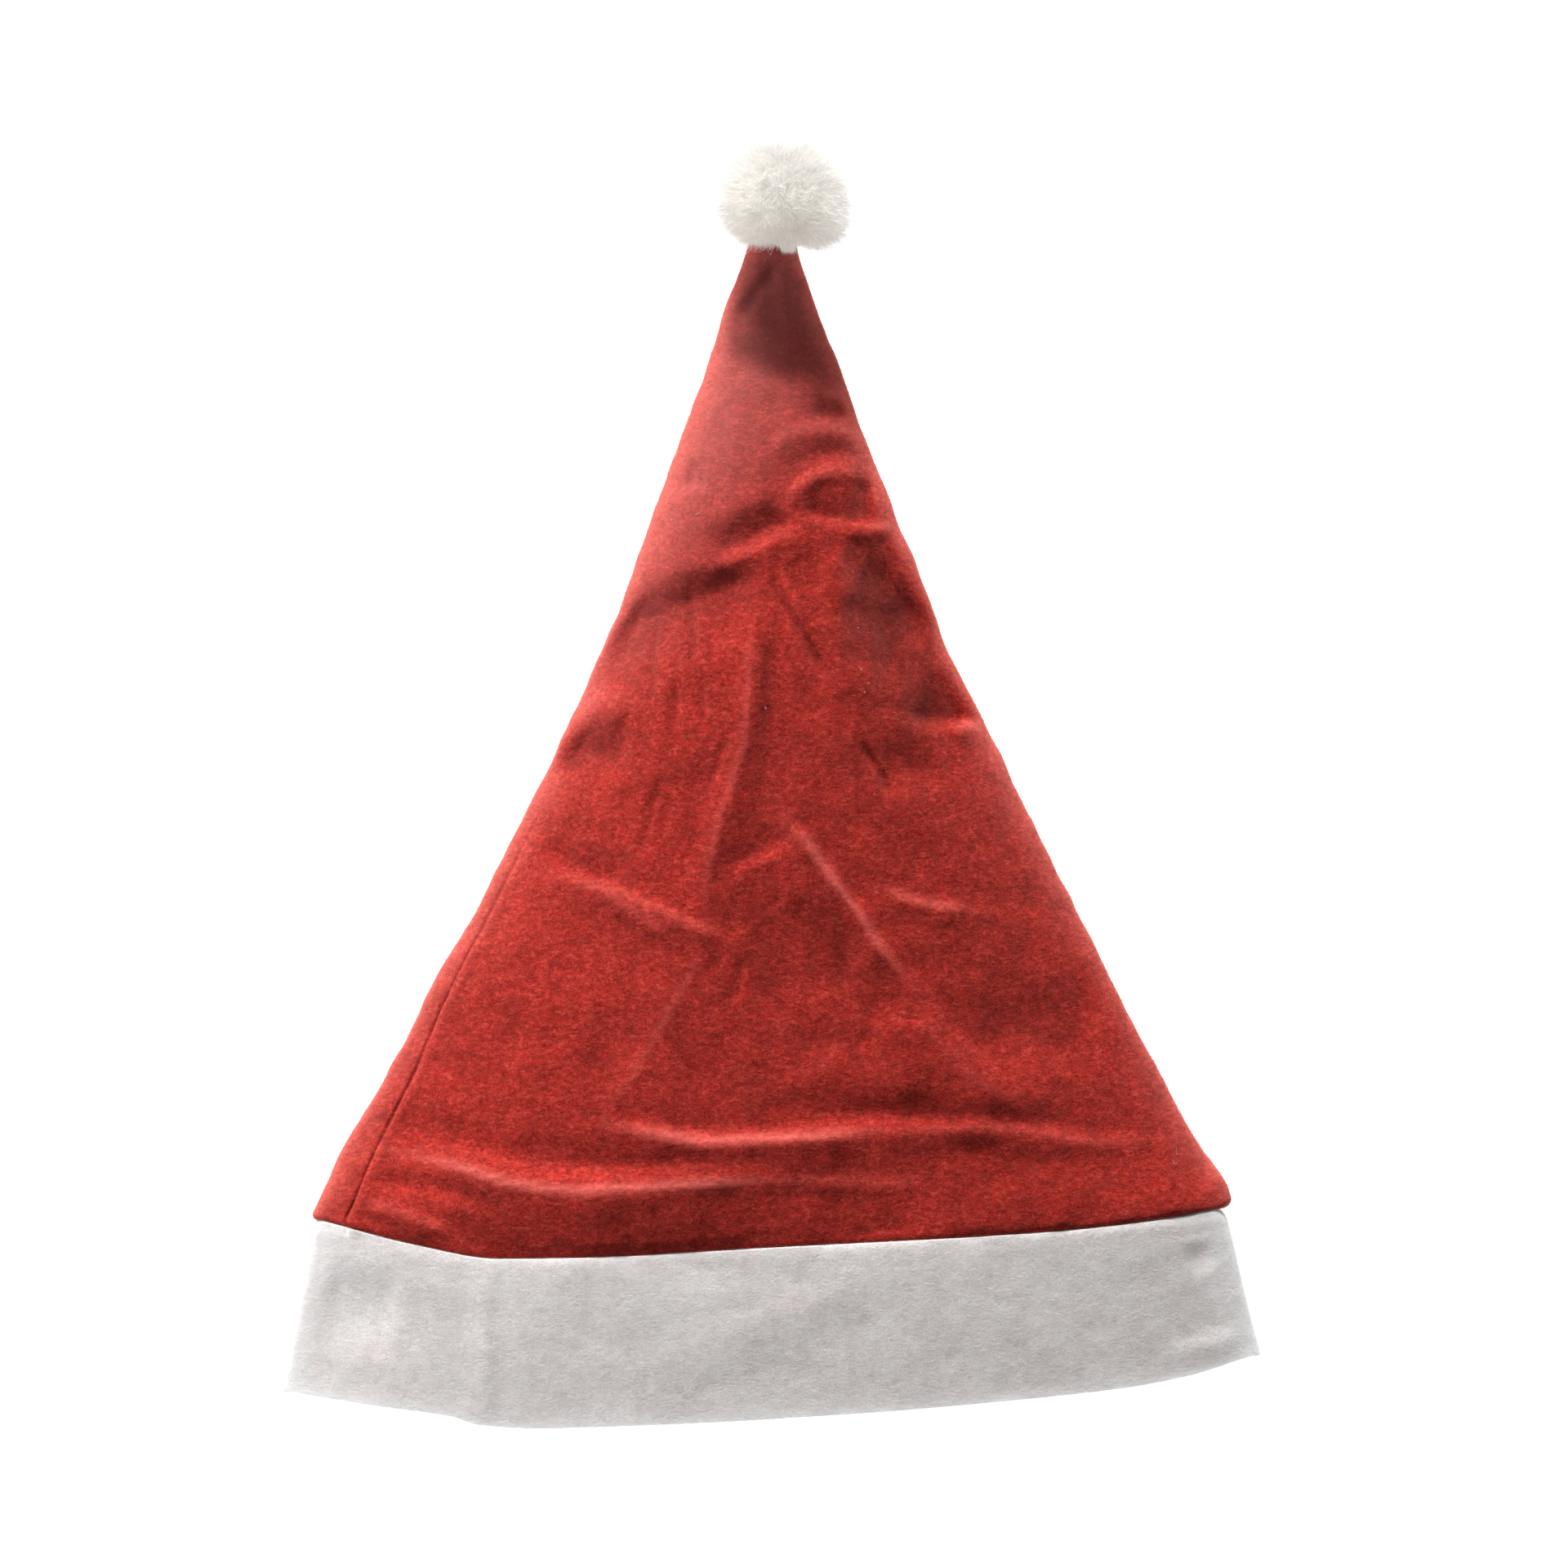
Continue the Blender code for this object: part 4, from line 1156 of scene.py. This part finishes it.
def make_fur(index, material):
    """One third of the pompom's hairs, in tufts that spring from the head."""
    chance = np.random.default_rng(FUR_SEED + index)
    all_tufts = even_directions(TUFTS_PER_PIECE * FUR_PIECES, np.random.default_rng(TUFT_SEED))
    centres = all_tufts[index::FUR_PIECES]
    lengths = 1 - TUFT_SHORTENING * chance.random(len(centres))
    leans = chance.normal(0.0, TUFT_LEAN, centres.shape)
    tuft = np.repeat(np.arange(len(centres)), HAIRS_PER_TUFT)
    spread = chance.normal(0.0, TUFT_SPREAD, (len(tuft), 3))
    root_way = unit(centres[tuft] + spread)
    tip_way = unit(centres[tuft] + leans[tuft] + spread * TUFT_GATHER)
    length = lengths[tuft] * (HAIR_LENGTH - HAIR_SHORTENING * chance.random(len(tuft)))
    roots = POMPOM_CENTRE + root_way * (pompom_reach(root_way) * ROOT_SHARE)[:, None]
    tips = POMPOM_CENTRE + tip_way * (pompom_reach(tip_way) * length)[:, None]
    reach = np.linalg.norm(tips - roots, axis=-1, keepdims=True)
    lines = hairs_between(roots, tips, HAIR_BOW * chance.normal(0.0, HAIR_CURL, roots.shape) * reach)
    sides = any_sides(lines, chance)
    widths = uneven_widths(HAIR_WIDTH, len(lines), chance)
    ribbons(f"pompom_fur_{index}", lines, widths, sides, material, "white_fur")


def make_tip_tufts(material):
    """The tufts that fall over the crown's tip and the lobe at the pompom's lower right."""
    chance = np.random.default_rng(TIP_SEED)
    roots, tips = [], []
    for _, x, y, z, hairs, spread in TIP_TUFTS[1:]:
        tip = np.array([x, y, z])
        root = POMPOM_CENTRE + (tip - POMPOM_CENTRE) * TIP_ROOT_SHARE + TIP_ROOT_LIFT
        tips.append(tip + chance.normal(0.0, spread, (hairs, 3)) * TIP_SPREAD)
        roots.append(root + chance.normal(0.0, TIP_ROOT_SPREAD, (hairs, 3)))
    roots, tips = np.concatenate(roots), np.concatenate(tips)
    lines = hairs_between(roots, tips, chance.normal(0.0, TIP_BEND, roots.shape) + TIP_ARCH)
    widths = np.full(len(lines), TIP_WIDTH)
    ribbons("pompom_tip_tufts", lines, widths, any_sides(lines, chance), material, "white_fur")


def make_curls(material):
    """Small bright locks that lie on top of the pompom's fur."""
    chance = np.random.default_rng(CURL_SEED)
    lines = []
    for _, x, y, length, turn, bow in CURLS[1:]:
        out = unit(np.array([x, y, POMPOM_CENTRE[2]]) - POMPOM_CENTRE)
        away = math.dist((x, y), POMPOM_CENTRE[:2]) / pompom_reach(out)
        top = POMPOM_CENTRE[2] + CURL_HEIGHT * math.sqrt(max(0.0, CURL_ROUNDNESS - away**2))
        way, aside = level_way(turn)
        middle = np.array([x, y, top]) + chance.normal(0.0, CURL_SPREAD, (CURL_HAIRS, 3))
        uneven = CURL_HALF + CURL_UNEVENNESS * chance.normal(0.0, 1.0, (CURL_HAIRS, 1))
        half = way * uneven * length
        bent = middle + aside * bow + CURL_LIFT
        eased = middle + aside * CURL_EASE * bow + CURL_HALF * half
        lines.append(np.stack([middle - half, bent, eased, middle + half], axis=1))
    lines = np.concatenate(lines)
    widths = np.full(len(lines), CURL_WIDTH)
    ribbons("pompom_curls", lines, widths, any_sides(lines, chance), material, "white_fur")


def make_nap(piece, points, normals, pale, material, slot):
    """Short curled fibres that lie over the felt's outer side."""
    look, columns = named_row(NAPS, piece), named_row(COLUMNS, piece)
    front, fold = columns["front"], columns["fold"]
    chance = np.random.default_rng(look["seed"])
    count = points.shape[1]
    round_it = (np.roll(points, -1, axis=1) - points)[:-1]
    up_it = points[1:] - points[:-1]
    weight = np.ones(count)
    weight[front:] = NAP_FOLD_SHARE
    weight[front + fold : count - fold] = NAP_BACK_SHARE
    area = np.linalg.norm(np.cross(round_it, up_it), axis=-1) * weight[None, :]
    area *= np.clip(1 + DENT_THINNING * pale[:-1], NAP_LEAST_SHARE, 1.0)
    cells = chance.choice(area.size, look["count"], p=(area / area.sum()).ravel())
    row, place = np.divmod(cells, count)
    each = (len(cells), 1)
    along, across = chance.random(each), chance.random(each)
    roots = points[row, place] + round_it[row, place] * across + up_it[row, place] * along
    out = normals[row, place]
    east, north = unit(round_it[row, place]), unit(up_it[row, place])
    angle = NAP_ACROSS * chance.normal(0.0, 1.0, each) + np.pi * (chance.random(each) < 0.5)
    way = np.cos(angle) * east + np.sin(angle) * north
    turn = np.cross(out, way)
    length = look["shortest"] + (look["longest"] - look["shortest"]) * chance.random(each) ** 2
    lift = look["lift"] * (NAP_LEAST_LIFT + chance.random(each)) * length
    curl = chance.normal(0.0, NAP_CURL, each) * length
    middle = roots + way * length / 2 + out * lift * NAP_ARCH + turn * curl
    tips = roots + way * length + out * lift * (NAP_TIP_LIFT * chance.random(each))
    lines = np.stack([roots - NAP_ROOT_DEPTH * out, middle, tips], axis=1)
    sides = unit(turn + chance.normal(0.0, NAP_TWIST, turn.shape))
    widths = uneven_widths(look["width"], len(cells), chance)
    return ribbons(f"{piece}_nap", lines, widths, sides, material, slot)


def make_lint(points, normals, material):
    """Pale hairs and specks caught on the crown's front."""
    lines, sides, widths = [], [], []
    for _, x, y, length, turn, curl, width in LINT[1:]:
        away = np.hypot(points[..., 0] - x, points[..., 1] - y) - points[..., 2]
        spot = np.unravel_index(np.argmin(away), away.shape)
        way, aside = level_way(turn)
        middle = points[spot] + normals[spot] * LINT_LIFT
        lines.append([middle - way * length / 2, middle + aside * curl, middle + way * length / 2])
        sides.append(aside)
        widths.append(width)
    lines, widths, sides = np.array(lines), np.array(widths), np.array(sides)
    return ribbons("crown_lint", lines, widths, sides, material, "red_felt")


def make_crown(materials):
    """The crown's felt wall, with its nap and lint."""
    columns = named_row(COLUMNS, "crown")
    up = rows_of(CROWN_ROWS)
    outer, pale = crown_loops(up, columns)
    normals = normals_of(outer)
    turn = LIP_TURN * (1 - np.clip(up / LIP_TURN_REACH, 0, 1)) ** 2
    raised = CROWN_UNEVENNESS * unevenness(outer, CROWN_SEED) * soft_step(up / SOFT_EDGE)[:, None]
    raised += puckers(outer) * np.exp(-up / PUCKER_REACH)[:, None] - turn[:, None]
    outer = outer + normals * raised[..., None]
    outer[..., 2] = np.maximum(outer[..., 2], 0.0)
    normals = normals_of(outer)
    wall = CROWN_WALL - LIP_THINNING * (1 - np.clip(up / LIP_THINNING_REACH, 0, 1)) ** 2
    crown = felt_piece("crown_felt", outer, normals, wall, True, materials["red_felt"], "red_felt", pale)
    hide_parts("crown")
    nap = make_nap("crown", outer, normals, pale, materials["red_nap"], "red_felt")
    front = columns["front"]
    lint = make_lint(outer[:, :front], normals[:, :front], materials["lint"])


def make_band(materials):
    """The band's felt wall, with its upper edge tucked into the crown, and its nap."""
    columns = named_row(COLUMNS, "band")
    share = rows_of(BAND_ROWS)
    tucked, _ = crown_loops(rows_of(CROWN_ROWS)[TUCK_ROWS], columns, TUCK_INSET)
    shown, pale = band_loops(share, columns)
    start = soft_step(share / BAND_UNEVEN_START)[:, None]
    raised = BAND_UNEVENNESS * unevenness(shown, BAND_SEED) * start
    fade = soft_step(share / BAND_PUCKER_START) * np.exp(-share / BAND_PUCKER_REACH)
    raised += puckers(shown) * fade[:, None]
    outer = np.concatenate([tucked, shown + normals_of(shown) * raised[..., None]])
    outer[..., 2] = np.maximum(outer[..., 2], 0.0)
    pale = np.concatenate([np.zeros(tucked.shape[:2]), pale])
    normals = normals_of(outer)
    wall = np.full(len(outer), BAND_WALL)
    band = felt_piece("band_felt", outer, normals, wall, False, materials["white_felt"], "white_felt", pale)
    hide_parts("band")
    bare = [values[len(tucked) :] for values in (outer, normals, pale)]
    nap = make_nap("band", *bare, materials["white_nap"], "white_felt")


def make_camera():
    """Straight down, as the photograph, through a long lens."""
    data = bpy.data.cameras.new("camera")
    data.lens = LENS
    data.sensor_width = SENSOR_WIDTH
    data.clip_end = CLIP_END
    camera = add_object("camera", data)
    camera.location = (*VIEW_MIDDLE, VIEW_WIDTH * LENS / SENSOR_WIDTH)
    bpy.context.scene.camera = camera


def make_lights():
    """The lamps, and a faint even light from all round."""
    for name, kind, place, aim, size, power in LIGHTS[1:]:
        data = bpy.data.lights.new(name, kind)
        data.energy = power
        if kind == "SPOT":
            data.spot_size = SPOT_ANGLE
            data.spot_blend = 1.0
            data.shadow_soft_size = size
        else:
            data.size = size
        light = add_object(name, data)
        light.location = place
        way = Vector(aim) - light.location
        light.rotation_euler = way.to_track_quat("-Z", "Y").to_euler()
    world = bpy.data.worlds.new("world")
    world.use_nodes = True
    background = world.node_tree.nodes["Background"]
    background.inputs["Color"].default_value = WHITE
    background.inputs["Strength"].default_value = WORLD_GLOW
    bpy.context.scene.world = world


def make_floor():
    """A light table: pale, and bright enough of itself that nothing casts a shadow on it."""
    tree = Tree("floor")
    tree.settle(FLOOR_SHADER)
    signs = ((-1, -1), (1, -1), (1, 1), (-1, 1))
    corners = [(x * FLOOR_HALF, y * FLOOR_HALF, FLOOR_LEVEL) for x, y in signs]
    mesh = bpy.data.meshes.new("floor")
    mesh.from_pydata(corners, [], [(0, 1, 2, 3)])
    mesh.materials.append(tree.material)
    add_object("floor", mesh)


materials = {name: felt_material(name) for name in FELTS}
materials |= {name: fibre_material(name) for name in column(FIBRES, "name")}
make_camera()
make_lights()
make_floor()
make_crown(materials)
make_band(materials)
make_head(materials["white_fur"])
for index in range(FUR_PIECES):
    make_fur(index, materials["white_fur"])
make_tip_tufts(materials["white_fur"])
make_curls(materials["white_curl"])
bpy.context.scene.view_settings.view_transform = "Standard"
